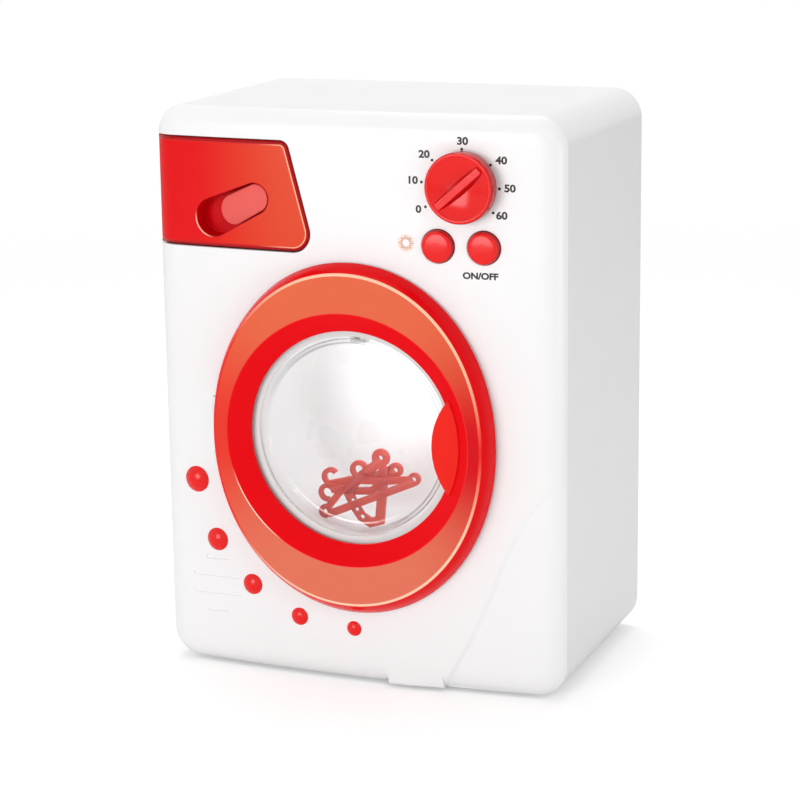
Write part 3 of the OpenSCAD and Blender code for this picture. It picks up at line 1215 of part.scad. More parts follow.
// One hanger in its layer of the stack: its bars, the loops at its ends and the holes
module hanger(layer, loops, holes) {
    y = hanger_y + layer * (hanger_t + part_gap);
    shift = layer * hanger_step;
    color("salmon") on_case() translate([shift.x, y + hanger_t, door_z + shift.y]) rotate([90, 0, 0])
        difference() {
        union() {
            children();
            for (l = loops) translate([l[0], l[1]]) cylinder(r=l[2], h=hanger_t);
        }
        for (h = concat(loops, holes))
            translate([h[0], h[1], -over]) cylinder(r=loop_bore, h=hanger_t + 2 * over);
    }
}
hanger_y = 8;
hanger_step = [1.15, 0.7];
module hanger_1() hanger(0, [[-21.6, -39.8, 3.1], [20.7, -21.7, 2.9]], []) {
    bar([[-20, -41], [20.5, -23.2]], 3.4);
    bar([[-21.4, -39.2], [-14.6, -30.6], [-6.9, -24.5], [7.3, -23.8], [20, -21.8]], 3);
    hook([-5.2, -19.5], 20);
}
module hanger_2() hanger(1, [[3.1, -14.6, 4.1]],
        [[-12.7, -31.1], [-10.3, -35.2], [-8.6, -38.8], [-5.9, -42.2]]) {
    bar([[4.5, -18.1], [2.3, -43.1], [-2.1, -44.5], [-6.4, -42.2], [-9.7, -37.5], [-13.4, -30.1]], 4.2);
    bar([[-13.5, -31.9], [-7, -24.2], [2.1, -16.8]], 4.2);
    bar([[-20.4, -29.7], [-13.9, -30.5]], 2.4);
    hook([-22.6, -32.5], 0);
}
module hanger_3() hanger(2, [[8.1, -20.8, 3.3]], []) {
    bar([[8.1, -21.4], [1.9, -26.3], [-3.5, -31.3], [-16.6, -32.5]], 3.2);
    bar([[8.1, -21.4], [-6.2, -25.1], [-24.6, -30.2]], 3.2);
    bar([[-16.5, -33], [-13.2, -26.1]], 3);
    hook([-22.9, -26.5], 40);
}

front_shell();
rear_shell();
feet();
door_ring();
door_window();
door_back();
door_pull();
hinge_bracket();
hinge_pin();
latch_keeper();
mouth_ring();
drawer_front();
drawer_tray();
drawer_guide();
dial_knob();
dial_ratchet();
dial_screw();
dial_click_spring();
light_button();
power_button();
light_button_spring();
power_button_spring();
control_board();
tact_switches();
drum_lamp();
speaker();
speaker_clamp();
drum();
drum_shaft();
drum_bush();
drum_gear();
idler_gear();
idler_pin();
motor();
motor_shaft();
motor_pinion();
chassis();
gear_plate();
battery_box();
battery_cells();
battery_contacts();
battery_door();
battery_door_screw();
bubble_1();
bubble_2();
bubble_3();
bubble_4();
bubble_5();
case_screws();
small_screws();
drive_screws();
tray_screws();
door_screws();
battery_lead();
motor_lead();
speaker_lead();
lamp_lead();
hanger_1();
hanger_2();
hanger_3();
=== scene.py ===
"""Looks of a toy washing machine: bowed white case, red oval door, dial, drawer and buttons.

The pieces are worked out in millimetres in the case frame, as seen from the front: x to the
right, y to the back from the parting line, z up from the underside of the case. place() moves
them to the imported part's frame in metres.
"""
import json
import math
import bmesh
import bpy
import numpy as np
from mathutils import Matrix, Vector
from mathutils.geometry import delaunay_2d_cdt


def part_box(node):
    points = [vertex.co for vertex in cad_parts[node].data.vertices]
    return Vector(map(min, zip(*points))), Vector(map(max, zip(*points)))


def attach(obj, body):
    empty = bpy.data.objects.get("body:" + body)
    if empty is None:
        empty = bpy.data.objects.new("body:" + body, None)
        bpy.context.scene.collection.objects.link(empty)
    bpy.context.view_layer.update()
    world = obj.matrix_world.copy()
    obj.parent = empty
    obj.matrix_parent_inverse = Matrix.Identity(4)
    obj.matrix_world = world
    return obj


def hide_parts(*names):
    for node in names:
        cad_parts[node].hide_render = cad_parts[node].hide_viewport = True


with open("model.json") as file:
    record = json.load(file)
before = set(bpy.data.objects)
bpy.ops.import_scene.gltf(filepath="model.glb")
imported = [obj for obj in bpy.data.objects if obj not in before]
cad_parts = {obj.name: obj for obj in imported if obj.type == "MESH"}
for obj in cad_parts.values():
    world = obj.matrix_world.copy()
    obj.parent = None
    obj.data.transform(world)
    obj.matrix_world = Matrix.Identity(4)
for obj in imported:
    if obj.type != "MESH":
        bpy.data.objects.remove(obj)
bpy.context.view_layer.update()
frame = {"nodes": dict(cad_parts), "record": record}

MM = 0.001


# Sizes read from the frame
def span(node):
    """A node's lowest and highest corners in millimetres."""
    low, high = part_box(node)
    return np.array(low) / MM, np.array(high) / MM


FACE_BOW = 5.4
rear_low, rear_high = span("rear_shell")
HALF_W = rear_high[0]
CASE_H = rear_high[2] - rear_low[2]
FLOOR_GAP = rear_low[2]
SEAM_Y = rear_low[1] + FACE_BOW
CASE_D = rear_high[1] - SEAM_Y
CASE_ORIGIN = np.array([0, SEAM_Y, FLOOR_GAP])


def span_case(node):
    """A node's corners in the case frame."""
    low, high = span(node)
    return low - CASE_ORIGIN, high - CASE_ORIGIN


def centre_xz(node):
    """The middle of a node seen from the front."""
    low, high = span_case(node)
    return (low[[0, 2]] + high[[0, 2]]) / 2


# Case
EDGE_RISE = 5.0
EDGE_WIDTH = 9.5
CORNER_R = 13.0
WALL = 2.2
EDGE_R = (EDGE_WIDTH ** 2 + EDGE_RISE ** 2) / (2 * EDGE_RISE)
FACE_MID = -(EDGE_RISE + FACE_BOW)
BACK_INNER = CASE_D - WALL
STEP_SHARE = 1.0 / (EDGE_RISE + FACE_BOW / 2)
SEAM_ROUND = 0.35
BACK_ROUND = 1.6
CASE_SCREWS = [(x * (HALF_W - 12), z) for x in (-1, 1) for z in (6.8, CASE_H - 6.8)]
BATTERY_HOLE = (-27.4, 19.6, 27.4, 73.6)
SPEAKER = np.array([42.0, 212.0])
SPEAKER_HOLE_R = 1.2
SPEAKER_PITCH = 4.6
KICK_LEFT = 12.7
KICK_RIGHT = 39.7
KICK_SLANT = 2.5
KICK_TOP = 7.5

# Rows over a rolled edge and round a corner
RIM_STEPS = 4
HEM_STEPS = 6
FILLET_STEPS = 5

# Door
DOOR = centre_xz("drum")
WINDOW_R = 47.0
CONE_R = 55.6
CREST = (61.9, 73.2)
BASE = (64.8, 77.4)
FOOT_DROP = 0.9
CREST_Y = FACE_MID - 9.2
WINDOW_Y = FACE_MID - 2.6
DOOR_GAP = 1.3
BEZEL_WALL = 1.8
GLASS_T = 1.6
LIP_T = 1.6
OVAL_POWER = 2.06
MOUTH_R = 54.0
RING_Y = -4.0
HINGE_X = -(BASE[0] - 3.4)
HINGE_ARM_Z = 12.5
HINGE_ARM_HALF = 2.9
LATCH_SLOT = (58.8, 62.5, 5.4)
DOOR_SCREW_X = 20.0
DOOR_SCREW_RISE = 6.0
BOWL_R = 42.0
BOWL_FLOOR_R = 39.4
BOWL_DEPTH = 5.4
BOWL_DOME = 0.8
FLANGE_R = 51.0
FLANGE_T = 1.54

# Drum
DRUM_R = 49.0
DRUM_WALL = 1.6
DRUM_DEPTH = 52.0
DRUM_Y = span_case("drum")[0][1]
DRUM_BACK = DRUM_Y + DRUM_DEPTH + DRUM_WALL
HUB_R = 7.0
HUB_LENGTH = 5.6
SHAFT_R = 3.02

# Dial, buttons and bubbles
DIAL = centre_xz("dial_knob")
DIAL_R = 15.0
DIAL_RISE = 7.5
DIAL_BORE = 4.1
DIAL_STEM_R = 4.0
DIAL_SKIRT = 1.6
DIAL_CAVITY = 1.2
DISH_R = 12.9
DISH_LIP = 0.5
DISH_DEPTH = 3.3
GRIP_LOW = -12.2
GRIP_HIGH = 12.9
GRIP_FOOT = 13.4
GRIP_W = 3.3
GRIP_ANGLE = math.radians(221)
BUTTON_R = 7.0
BUTTON_GAP = 0.3
BUTTON_RISE = 2.5
BUTTON_FLANGE = (8.6, 1.4)
BUTTON_STEM_R = 2.5
BUTTONS = {name: centre_xz(name) for name in ("light_button", "power_button")}
BOARD_POSTS = [(x, BUTTONS["light_button"][1] - 8.5) for x in (30.5, 68.5)]
BUBBLES = {"bubble_1": (-76.7, 84.2, 5.9), "bubble_2": (-67.1, 57.5, 5.2), "bubble_3": (-49.9, 38.7, 4.7),
           "bubble_4": (-27.0, 26.5, 4.0), "bubble_5": (-0.9, 23.8, 3.4)}
BUBBLE_RISE = 0.42
BUBBLE_LIFT = 0.06
PEG_R = 1.5
PEG_END = 3.4

# Drawer
DRAWER_Z = 189.1
DRAWER_TOP = DRAWER_Z + 48.0
DRAWER_GAP = 0.4
PIT = (np.array([-64.6, 202.3]), 8.3)
PIT_END = (np.array([-44.5, 211.4]), 6.7)
RAMP_FOOT = (np.array([-56.2, 205.6]), 6.6)
RAMP_END = (PIT_END[0], 6.1)
RAMP_LOW = 4.6
RAMP_HIGH = 0.7
RECESS_DEPTH = 9.0
RECESS_ROUND = 0.45
RECESS_FLOOR_ROUND = 0.6
RECESS_WALL = 1.6
DRAWER_ROUND = 2.0
DRAWER_POSTS = ((-80, 200), (-40, 199), (-77, 225))
GUIDE_POSTS = ((-8.5, 196), (-17.5, 229), (-50, CASE_H - 7.6))


# Shapes seen from the front, as loops of [x, z] that run counterclockwise
def unit(v):
    """Each row of v made one long."""
    return v / np.linalg.norm(v, axis=-1, keepdims=True)


def ring(centre, radius, count):
    """A circle: centre plus radius times the cosine and sine of even turns."""
    turn = np.linspace(0, 2 * np.pi, count, endpoint=False)
    return np.asarray(centre) + radius * np.stack([np.cos(turn), np.sin(turn)], 1)


def rounded(corners, steps=10):
    """A polygon of [x, z, radius] corners. Each corner is the arc that touches both its sides."""
    loop = []
    count = len(corners)
    for i, (x, z, radius) in enumerate(corners):
        here = np.array([x, z], float)
        if radius <= 0:
            loop.append(here[None])
            continue
        back = unit(np.array(corners[i - 1][:2], float) - here)
        ahead = unit(np.array(corners[(i + 1) % count][:2], float) - here)
        half = math.acos(back @ ahead) / 2
        middle = here + unit(back + ahead) * radius / math.sin(half)
        start = here + back * radius / math.tan(half) - middle
        end = here + ahead * radius / math.tan(half) - middle
        first = math.atan2(start[1], start[0])
        sweep = (math.atan2(end[1], end[0]) - first + np.pi) % (2 * np.pi) - np.pi
        turn = first + sweep * np.linspace(0, 1, steps + 1)
        loop.append(middle + radius * np.stack([np.cos(turn), np.sin(turn)], 1))
    return np.concatenate(loop)


def tapered(start, end, steps=20):
    """The outline round two discs of [centre, radius] and the space between them: two arcs that
    end where the outer tangents touch."""
    (p, rp), (q, rq) = start, end
    d = q - p
    lean = math.atan2(d[1], d[0])
    touch = math.acos((rp - rq) / np.linalg.norm(d))
    far = lean + touch + (2 * np.pi - 2 * touch) * np.linspace(0, 1, 2 * steps + 1)
    near = lean - touch + 2 * touch * np.linspace(0, 1, steps + 1)
    arcs = [p + rp * np.stack([np.cos(far), np.sin(far)], 1),
            q + rq * np.stack([np.cos(near), np.sin(near)], 1)]
    return np.concatenate(arcs)


def offset(loop, distance):
    """The loop moved outwards by a distance: each point goes along the sum of its two sides'
    outward normals, stretched so that both sides move by the whole distance."""
    before = unit(loop - np.roll(loop, 1, 0))
    after = unit(np.roll(loop, -1, 0) - loop)
    normal = np.stack([before[:, 1] + after[:, 1], -before[:, 0] - after[:, 0]], 1)
    return loop + distance * normal / (1 + (before * after).sum(1, keepdims=True))


def densified(loop, spacing):
    """The closed loop with more points on its long sides, at most the spacing apart."""
    sides = np.linalg.norm(np.roll(loop, -1, 0) - loop, axis=1)
    counts = np.maximum(1, np.ceil(sides / spacing)).astype(int)
    start = np.repeat(np.arange(len(loop)), counts)
    along = (np.arange(len(start)) - np.repeat(np.cumsum(counts) - counts, counts)) / counts[start]
    return loop[start] + along[:, None] * (np.roll(loop, -1, 0) - loop)[start]


def spline(points, steps):
    """A Catmull-Rom curve through the points: each stretch is a cubic in t from four neighbours."""
    p = np.concatenate([points[:1], points, points[-1:]])
    t = np.linspace(0, 1, steps, endpoint=False)[None, :, None]
    a, b, c, d = (p[i:len(p) - 3 + i, None] for i in range(4))
    curve = (2 * b + (c - a) * t + (2 * a - 5 * b + 4 * c - d) * t ** 2
             + (3 * b - a - 3 * c + d) * t ** 3) / 2
    return np.concatenate([curve.reshape(-1, 2), points[-1:]])


def inside(points, loop):
    """True for each point inside the loop: a ray to the right crosses it an odd number of times."""
    (x, z), (x0, z0) = points.T[:, :, None], loop.T[:, None]
    x1, z1 = np.roll(x0, -1, 1), np.roll(z0, -1, 1)
    level = np.where(z1 == z0, 1.0, z1 - z0)
    crossing = ((z0 > z) != (z1 > z)) & (x < x0 + (z - z0) / level * (x1 - x0))
    return crossing.sum(1) % 2 == 1


# Heights of the front: y over [x, z]
def bow(x):
    """Forward bow of the parting line: a parabola over the width."""
    return FACE_BOW * (1 - (x / HALF_W) ** 2)


def face_y(x):
    """The front's surface away from its rounded edge."""
    return -(EDGE_RISE + bow(x))


def edge_distance(x, z):
    """Distance inwards from the case's rounded outline."""
    qx = np.abs(x) - (HALF_W - CORNER_R)
    qz = np.abs(z - CASE_H / 2) - (CASE_H / 2 - CORNER_R)
    return CORNER_R - np.hypot(np.maximum(qx, 0), np.maximum(qz, 0)) - np.minimum(np.maximum(qx, qz), 0)


def skin_y(points):
    """The front skin: the bow, and inside the edge width an arc of the edge radius that rises
    from the parting line to the face."""
    x, z = points.T
    reach = (EDGE_WIDTH - np.clip(edge_distance(x, z), 0, EDGE_WIDTH)) / EDGE_R
    return -bow(x) - EDGE_RISE + EDGE_R * (1 - np.sqrt(1 - reach ** 2))


STEP_EDGE = np.array([[39.7, -1], [41.3, 2.8], [49.6, 18.2], [55.9, 30.5], [61.3, 43.6], [66.7, 57.4],
                      [71.1, 67.5], [76.3, 77.6], [81.5, 85.8], [87.5, 91.4], [HALF_W + 1, 95.9]])
step_line = spline(STEP_EDGE, 6)
step_loop = np.concatenate([step_line, [[HALF_W + 1, -1]]])
STEP_SOFT = 1.3
GROOVES = [(-72.4, 10.8, 48.8), (-79.2, 22.2, 40.6), (-78.8, 22.8, 32.5), (-72.3, 9.5, 24.5)]
GROOVE_HALF = 0.35
GROOVE_DOT = 0.75
GROOVE_DEPTH = 0.5
GROOVE_SOFT = 0.12


def line_distance(points, line):
    """Shortest distance from each point to an open line of straight stretches."""
    a, b = line[:-1], line[1:]
    share = ((points[:, None] - a) * (b - a)).sum(2) / ((b - a) ** 2).sum(1)
    foot = a + np.clip(share, 0, 1)[..., None] * (b - a)
    return np.linalg.norm(points[:, None] - foot, axis=2).min(1)


def smooth(t):
    """Eases from 0 to 1 with level ends."""
    t = np.clip(t, 0, 1)
    return t * t * (3 - 2 * t)


def front_y(points):
    """The front shell's skin: the stepped panel is the skin drawn back by a share of its height,
    with a soft edge and not past the parting line, and the engraved lines are shallow channels."""
    y = skin_y(points)
    side = np.where(inside(points, step_loop), 1, -1) * line_distance(points, step_line)
    y = np.minimum(y * (1 - STEP_SHARE * smooth(0.5 + side / (2 * STEP_SOFT))), -bow(points[:, 0]))
    for x, length, z in GROOVES:
        away = np.hypot(points[:, 0] - np.clip(points[:, 0], x, x + length), points[:, 1] - z) - GROOVE_HALF
        dot = np.hypot(points[:, 0] - x, points[:, 1] - z) - GROOVE_DOT
        y = y + GROOVE_DEPTH * smooth(0.5 - np.minimum(away, dot) / (2 * GROOVE_SOFT))
    return y


# Mesh building
def place(points):
    """Points of the case frame in the part's frame, in metres."""
    return (np.asarray(points, float) + CASE_ORIGIN) * MM


def at_height(loop, y):
    """A loop of [x, z] with its y, as points."""
    return np.stack([loop[:, 0], np.broadcast_to(y, len(loop)), loop[:, 1]], 1)


def lofted(rows, capped=False, closed=False):
    """Quads between rows that each hold as many points. A cap is one face over the last row, and
    a closed loft joins its last row to its first."""
    rows = [np.asarray(r, float) for r in rows]
    n = len(rows[0])
    count = len(rows)
    k = np.arange(count if closed else count - 1)[:, None]
    i = np.arange(n)[None]
    quads = np.stack([k * n + i, k * n + (i + 1) % n, (k + 1) % count * n + (i + 1) % n,
                      (k + 1) % count * n + i], -1).reshape(-1, 4)
    faces = quads.tolist()
    if capped:
        faces.append(list(range((count - 1) * n, count * n)))
    return np.concatenate(rows), faces


def filleted(profile, radii, steps=5):
    """A profile line whose corners become curves: each is a quadratic in t between two points that
    lie the radius away from the corner along its sides."""
    profile = np.asarray(profile, float)
    t = np.linspace(0, 1, steps + 1)[:, None]
    out = [profile[:1]]
    for before, corner, after, radius in zip(profile[:-2], profile[1:-1], profile[2:], radii):
        if radius <= 0:
            out.append(corner[None])
            continue
        a = corner + unit(before - corner) * min(radius, np.linalg.norm(before - corner) * 0.49)
        b = corner + unit(after - corner) * min(radius, np.linalg.norm(after - corner) * 0.49)
        out.append((1 - t) ** 2 * a + 2 * t * (1 - t) * corner + t ** 2 * b)
    out.append(profile[-1:])
    return np.concatenate(out)


def turned(centre, profile, count=128, slope=0.0):
    """A profile of [radius, y] turned about an axis along y through the centre, which is [x, z] or
    also holds where y starts. The slope turns the axis about the vertical, for what stands square
    on the bowed front."""
    turn = np.linspace(0, 2 * np.pi, count, endpoint=False)
    r, y = np.asarray(profile, float).T[:, :, None]
    x, z = r * np.cos(turn), r * np.sin(turn)
    y = np.broadcast_to(y, x.shape)
    c, s = math.cos(slope), math.sin(slope)
    rows = np.stack([c * x - s * y, s * x + c * y, z], -1)
    base = centre[2] if len(centre) == 3 else 0.0
    return lofted(rows + np.array([centre[0], base, centre[1]]))


def plate(outer, holes=(), lines=(), spacing=5.0):
    """Triangles over an area with holes: constrained Delaunay triangles of its loops, of a grid of
    inner points and of lines that the triangles follow. The loops are rounded as the triangles'
    points are, so that a thin triangle outside a straight side is told from one inside."""
    loops = [np.float32(loop).astype(float) for loop in (outer, *holes)]
    outer, *holes = loops
    fixed = np.concatenate([*loops, *lines])
    low, high = outer.min(0), outer.max(0)
    grid = np.stack(np.meshgrid(*(np.arange(a + spacing / 2, b, spacing) for a, b in zip(low, high))), -1)
    grid = grid.reshape(-1, 2)
    free = inside(grid, outer)
    for hole in holes:
        free &= ~inside(grid, hole)
    grid = grid[free]
    if len(grid):
        gap = np.concatenate([np.linalg.norm(part[:, None] - fixed, axis=2).min(1)
                              for part in np.array_split(grid, 8)])
        grid = grid[gap > spacing * 0.4]
    edges, start = [], 0
    for loop in loops:
        here = start + np.arange(len(loop))
        edges += np.stack([here, np.roll(here, -1)], 1).tolist()
        start += len(loop)
    for line in lines:
        here = start + np.arange(len(line))
        edges += np.stack([here[:-1], here[1:]], 1).tolist()
        start += len(line)
    points = np.concatenate([fixed, grid])
    found = delaunay_2d_cdt([Vector(p) for p in points.tolist()], edges, [], 0, 1e-6, True)
    flat = np.array([v[:] for v in found[0]])
    triangles = np.array([f[:] for f in found[2]])
    centres = flat[triangles].mean(1)
    keep = inside(centres, outer)
    for hole in holes:
        keep &= ~inside(centres, hole)
    return flat, triangles[keep].tolist()


def sheet_of(flat, triangles, y, inner=False):
    """A plate at its heights. The inner side is turned over."""
    faces = [t[::-1] for t in triangles] if inner else triangles
    return at_height(flat, y), faces


def rim(loop, way, radius, height):
    """Rows that roll from a surface over the edge of an opening or an outline into its wall: at
    angle a the row lies radius (1 - sin a) from the wall and radius (1 - cos a) below the surface.
    way is 1 round an opening and -1 inside an outline."""
    rows = []
    for a in np.linspace(0, np.pi / 2, RIM_STEPS + 1):
        row = offset(loop, way * radius * (1 - math.sin(a)))
        rows.append(at_height(row, height(row) + radius * (1 - math.cos(a))))
    return rows


def made(name, parts, body, material, replaces=(), sharp=35):
    """One piece from several lofts and plates: their points that meet are joined, their faces are
    turned outwards and shaded smooth, apart from edges sharper than the angle given. A part may
    say for each of its faces which of several materials it takes."""
    verts, faces, marks, start = [], [], [], 0
    for points, part, *mark in parts:
        verts.append(points)
        faces += [[i + start for i in f] for f in part]
        marks.append(np.broadcast_to(mark[0] if mark else 0, len(part)))
        start += len(points)
    mesh = bpy.data.meshes.new(name)
    mesh.from_pydata(place(np.concatenate(verts)).tolist(), [], faces)
    mesh.polygons.foreach_set("material_index", np.concatenate(marks).astype(np.int32))
    work = bmesh.new()
    work.from_mesh(mesh)
    bmesh.ops.remove_doubles(work, verts=work.verts, dist=2e-6)
    bmesh.ops.recalc_face_normals(work, faces=work.faces)
    work.to_mesh(mesh)
    work.free()
    return finished(name, mesh, body, material, replaces, sharp)


def finished(name, mesh, body, material, replaces=(), sharp=35):
    """Gives a mesh its smooth faces, material and body, hides the parts it replaces, and gives it
    flat-looking flats.
    """
    mesh.polygons.foreach_set("use_smooth", np.ones(len(mesh.polygons), bool))
    mesh.set_sharp_from_angle(angle=math.radians(sharp))
    piece = bpy.data.objects.new(name, mesh)
    bpy.context.scene.collection.objects.link(piece)
    for finish in material if isinstance(material, list) else [material]:
        mesh.materials.append(finish)
    flats = piece.modifiers.new("flats", "WEIGHTED_NORMAL")
    flats.keep_sharp = True
    flats.weight = 60
    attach(piece, body)
    if replaces:
        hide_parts(*replaces)
    return piece


def softened(node, material, body, width):
    """A copy of a CAD node's mesh, joined and with level facets merged, whose edges get a small
    moulded radius."""
    mesh = frame["nodes"][node].data.copy()
    work = bmesh.new()
    work.from_mesh(mesh)
    bmesh.ops.remove_doubles(work, verts=work.verts, dist=2e-6)
    bmesh.ops.dissolve_limit(work, angle_limit=math.radians(0.5), verts=work.verts, edges=work.edges)
    work.to_mesh(mesh)
    work.free()
    mesh.materials.clear()
    mesh.name = node + "_soft"
    mesh.polygons.foreach_set("use_smooth", np.ones(len(mesh.polygons), bool))
    piece = bpy.data.objects.new(mesh.name, mesh)
    bpy.context.scene.collection.objects.link(piece)
    mesh.materials.append(material)
    edge = piece.modifiers.new("edges", "BEVEL")
    edge.width = width * MM
    edge.segments = 2
    edge.limit_method = "ANGLE"
    edge.angle_limit = math.radians(35)
    edge.use_clamp_overlap = True
    edge.harden_normals = True
    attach(piece, body)
    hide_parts(node)
    return piece


# Materials
def linear(code):
    """An sRGB hex colour as linear red, green, blue and 1."""
    parts = np.array([int(code[i:i + 2], 16) for i in (1, 3, 5)]) / 255
    low = parts <= 0.04045
    return (*np.where(low, parts / 12.92, ((parts + 0.055) / 1.055) ** 2.4), 1.0)


def add(tree, kind, links=None, **settings):
    """Adds a node. Settings name its properties or its sockets, and links name its sockets."""
    node = tree.nodes.new(kind)
    for key, value in settings.items():
        if hasattr(node, key):
            setattr(node, key, value)
        else:
            node.inputs[key.replace("_", " ")].default_value = value
    for key, source in (links or {}).items():
        tree.links.new(source, node.inputs[key])
    return node


def blank(name):
    """A new material with only its output node."""
    material = bpy.data.materials.new(name)
    material.use_nodes = True
    tree = material.node_tree
    tree.nodes.clear()
    return material, tree, tree.nodes.new("ShaderNodeOutputMaterial")


def eased(tree, value, low, high):
    """Eases from 0 to 1 as a value goes from low to high, or falls where low is the higher."""
    return add(tree, "ShaderNodeMapRange", {"Value": value}, interpolation_type="SMOOTHSTEP", From_Min=low,
               From_Max=high).outputs["Result"]


def taken_over(tree, base, colour, share):
    """A base colour that another one takes over by a share."""
    mix = add(tree, "ShaderNodeMix", {0: share, 6: base}, data_type="RGBA")
    mix.inputs[7].default_value = linear(colour)
    return mix.outputs[2]


def bearing(tree, where, middle, way):
    """The cosine of the angle between a way and a point's bearing from the middle, seen from the
    front."""
    off = add(tree, "ShaderNodeVectorMath", {0: where}, operation="SUBTRACT")
    off.inputs[1].default_value = place([middle[0], 0, middle[1]])
    flat = add(tree, "ShaderNodeVectorMath", {0: off.outputs[0]}, operation="MULTIPLY")
    flat.inputs[1].default_value = (1, 0, 1)
    one = add(tree, "ShaderNodeVectorMath", {0: flat.outputs[0]}, operation="NORMALIZE")
    dot = add(tree, "ShaderNodeVectorMath", {0: one.outputs[0]}, operation="DOT_PRODUCT")
    dot.inputs[1].default_value = (way[0], 0, way[1])
    return dot.outputs["Value"]


def toward(middle, way, colour, low, high):
    """A tint that grows from low to high in the cosine of the bearing, on the side of the middle that the way
    points to. It paints sheen and highlights on fixed sides of a part."""
    def paint(tree, where, base):
        share = eased(tree, bearing(tree, where, middle, way), low, high)
        return taken_over(tree, base, colour, share)
    return paint


def across(colour, low, high):
    """A tint that grows from left to right, from low to high in millimetres. It paints a sheen and a
    highlight.
    """
    def paint(tree, where, base):
        x = add(tree, "ShaderNodeSeparateXYZ", {0: where}).outputs["X"]
        return taken_over(tree, base, colour, eased(tree, x, low * MM, high * MM))
    return paint


def painted_edge_shade(colour, near=0.93, far=0.6):
    """Painted shade: a deeper tint where the surface turns away from the front, by the y of its own normal,
    standing in for the shade that falls on a moulded edge."""
    def paint(tree, _, base):
        normal = add(tree, "ShaderNodeTexCoord").outputs["Normal"]
        y = add(tree, "ShaderNodeSeparateXYZ", {0: normal}).outputs["Y"]
        return taken_over(tree, base, colour, eased(tree, y, -near, -far))
    return paint


def moulded(name, colour, shade, roughness, ior=1.54, grain_mm=0.0, grain_depth=0.0, flow_mm=35.0,
            spread=0.05, paints=(), **surface):
    """Moulded plastic. Two close colours flow into each other as the melt did, and further tints lie over
    them, which on some finishes are painted sheen, highlight or shade. The gloss varies a little with the
    flow, and an eroded tool leaves a fine grain where it has one."""
    material, tree, out = blank(name)
    where = add(tree, "ShaderNodeTexCoord").outputs["Object"]
    flow = add(tree, "ShaderNodeTexNoise", {"Vector": where}, Scale=1 / (flow_mm * MM), Detail=3.0)
    mix = add(tree, "ShaderNodeMix", data_type="RGBA")
    mix.inputs[6].default_value = linear(colour)
    mix.inputs[7].default_value = linear(shade)
    tree.links.new(flow.outputs["Fac"], mix.inputs[0])
    gloss = add(tree, "ShaderNodeMapRange", {"Value": flow.outputs["Fac"]})
    gloss.inputs["To Min"].default_value = roughness - spread / 2
    gloss.inputs["To Max"].default_value = roughness + spread / 2
    base = mix.outputs[2]
    for paint in paints:
        base = paint(tree, where, base)
    links = {"Base Color": base, "Roughness": gloss.outputs["Result"]}
    if grain_depth:
        grain = add(tree, "ShaderNodeTexNoise", {"Vector": where}, Scale=1 / (grain_mm * MM), Detail=2.0)
        bump = add(tree, "ShaderNodeBump", {"Height": grain.outputs["Fac"]}, Distance=grain_depth * MM)
        links["Normal"] = bump.outputs["Normal"]
    shader = add(tree, "ShaderNodeBsdfPrincipled", links, IOR=ior, **surface)
    tree.links.new(shader.outputs["BSDF"], out.inputs["Surface"])
    return material


def clear_plastic(name, tint, edge_tint, roughness, ior):
    """Clear moulded plastic with thin walls: what lies behind shows straight through, greyer where
    the wall is seen edge-on. The share of its gloss rises with the fifth power of the slant, from
    what the index of refraction gives head-on."""
    material, tree, out = blank(name)
    where = add(tree, "ShaderNodeTexCoord").outputs["Object"]
    flow = add(tree, "ShaderNodeTexNoise", {"Vector": where}, Scale=1 / (30 * MM), Detail=1.0)
    gloss = add(tree, "ShaderNodeMapRange", {"Value": flow.outputs["Fac"]}, To_Min=roughness,
                To_Max=roughness * 2)
    facing = add(tree, "ShaderNodeLayerWeight", Blend=0.5).outputs["Facing"]
    colour = add(tree, "ShaderNodeMix", {0: eased(tree, facing, 0.35, 1.0)}, data_type="RGBA")
    colour.inputs[6].default_value = linear(tint)
    colour.inputs[7].default_value = linear(edge_tint)
    film = add(tree, "ShaderNodeBsdfTransparent", {"Color": colour.outputs[2]})
    skin = add(tree, "ShaderNodeBsdfGlossy", {"Roughness": gloss.outputs["Result"]})
    skin.inputs["Color"].default_value = (1, 1, 1, 1)
    steep = add(tree, "ShaderNodeMath", {0: facing}, operation="POWER")
    steep.inputs[1].default_value = 5.0
    share = add(tree, "ShaderNodeMapRange", {"Value": steep.outputs[0]}, To_Min=((ior - 1) / (ior + 1)) ** 2)
    mix = add(tree, "ShaderNodeMixShader",
              {0: share.outputs["Result"], 1: film.outputs[0], 2: skin.outputs[0]})
    tree.links.new(mix.outputs[0], out.inputs["Surface"])
    return material


def tinted_plastic(name, colour, tint, share, edge_share, roughness):
    """Translucent coloured plastic, thin enough that what lies behind shows through tinted, and
    fuller in colour where a wall is seen edge-on."""
    material, tree, out = blank(name)
    where = add(tree, "ShaderNodeTexCoord").outputs["Object"]
    flow = add(tree, "ShaderNodeTexNoise", {"Vector": where}, Scale=1 / (12 * MM), Detail=2.0)
    gloss = add(tree, "ShaderNodeMapRange", {"Value": flow.outputs["Fac"]}, To_Min=roughness * 0.8,
                To_Max=roughness * 1.2)
    solid = add(tree, "ShaderNodeBsdfPrincipled", {"Roughness": gloss.outputs["Result"]}, IOR=1.49)
    solid.inputs["Base Color"].default_value = linear(colour)
    film = add(tree, "ShaderNodeBsdfTransparent")
    film.inputs["Color"].default_value = linear(tint)
    facing = add(tree, "ShaderNodeLayerWeight", Blend=0.5).outputs["Facing"]
    body = add(tree, "ShaderNodeMapRange", {"Value": facing}, From_Min=0.3, From_Max=0.8, To_Min=share,
               To_Max=edge_share)
    mix = add(tree, "ShaderNodeMixShader",
              {0: body.outputs["Result"], 1: film.outputs[0], 2: solid.outputs[0]})
    tree.links.new(mix.outputs[0], out.inputs["Surface"])
    return material


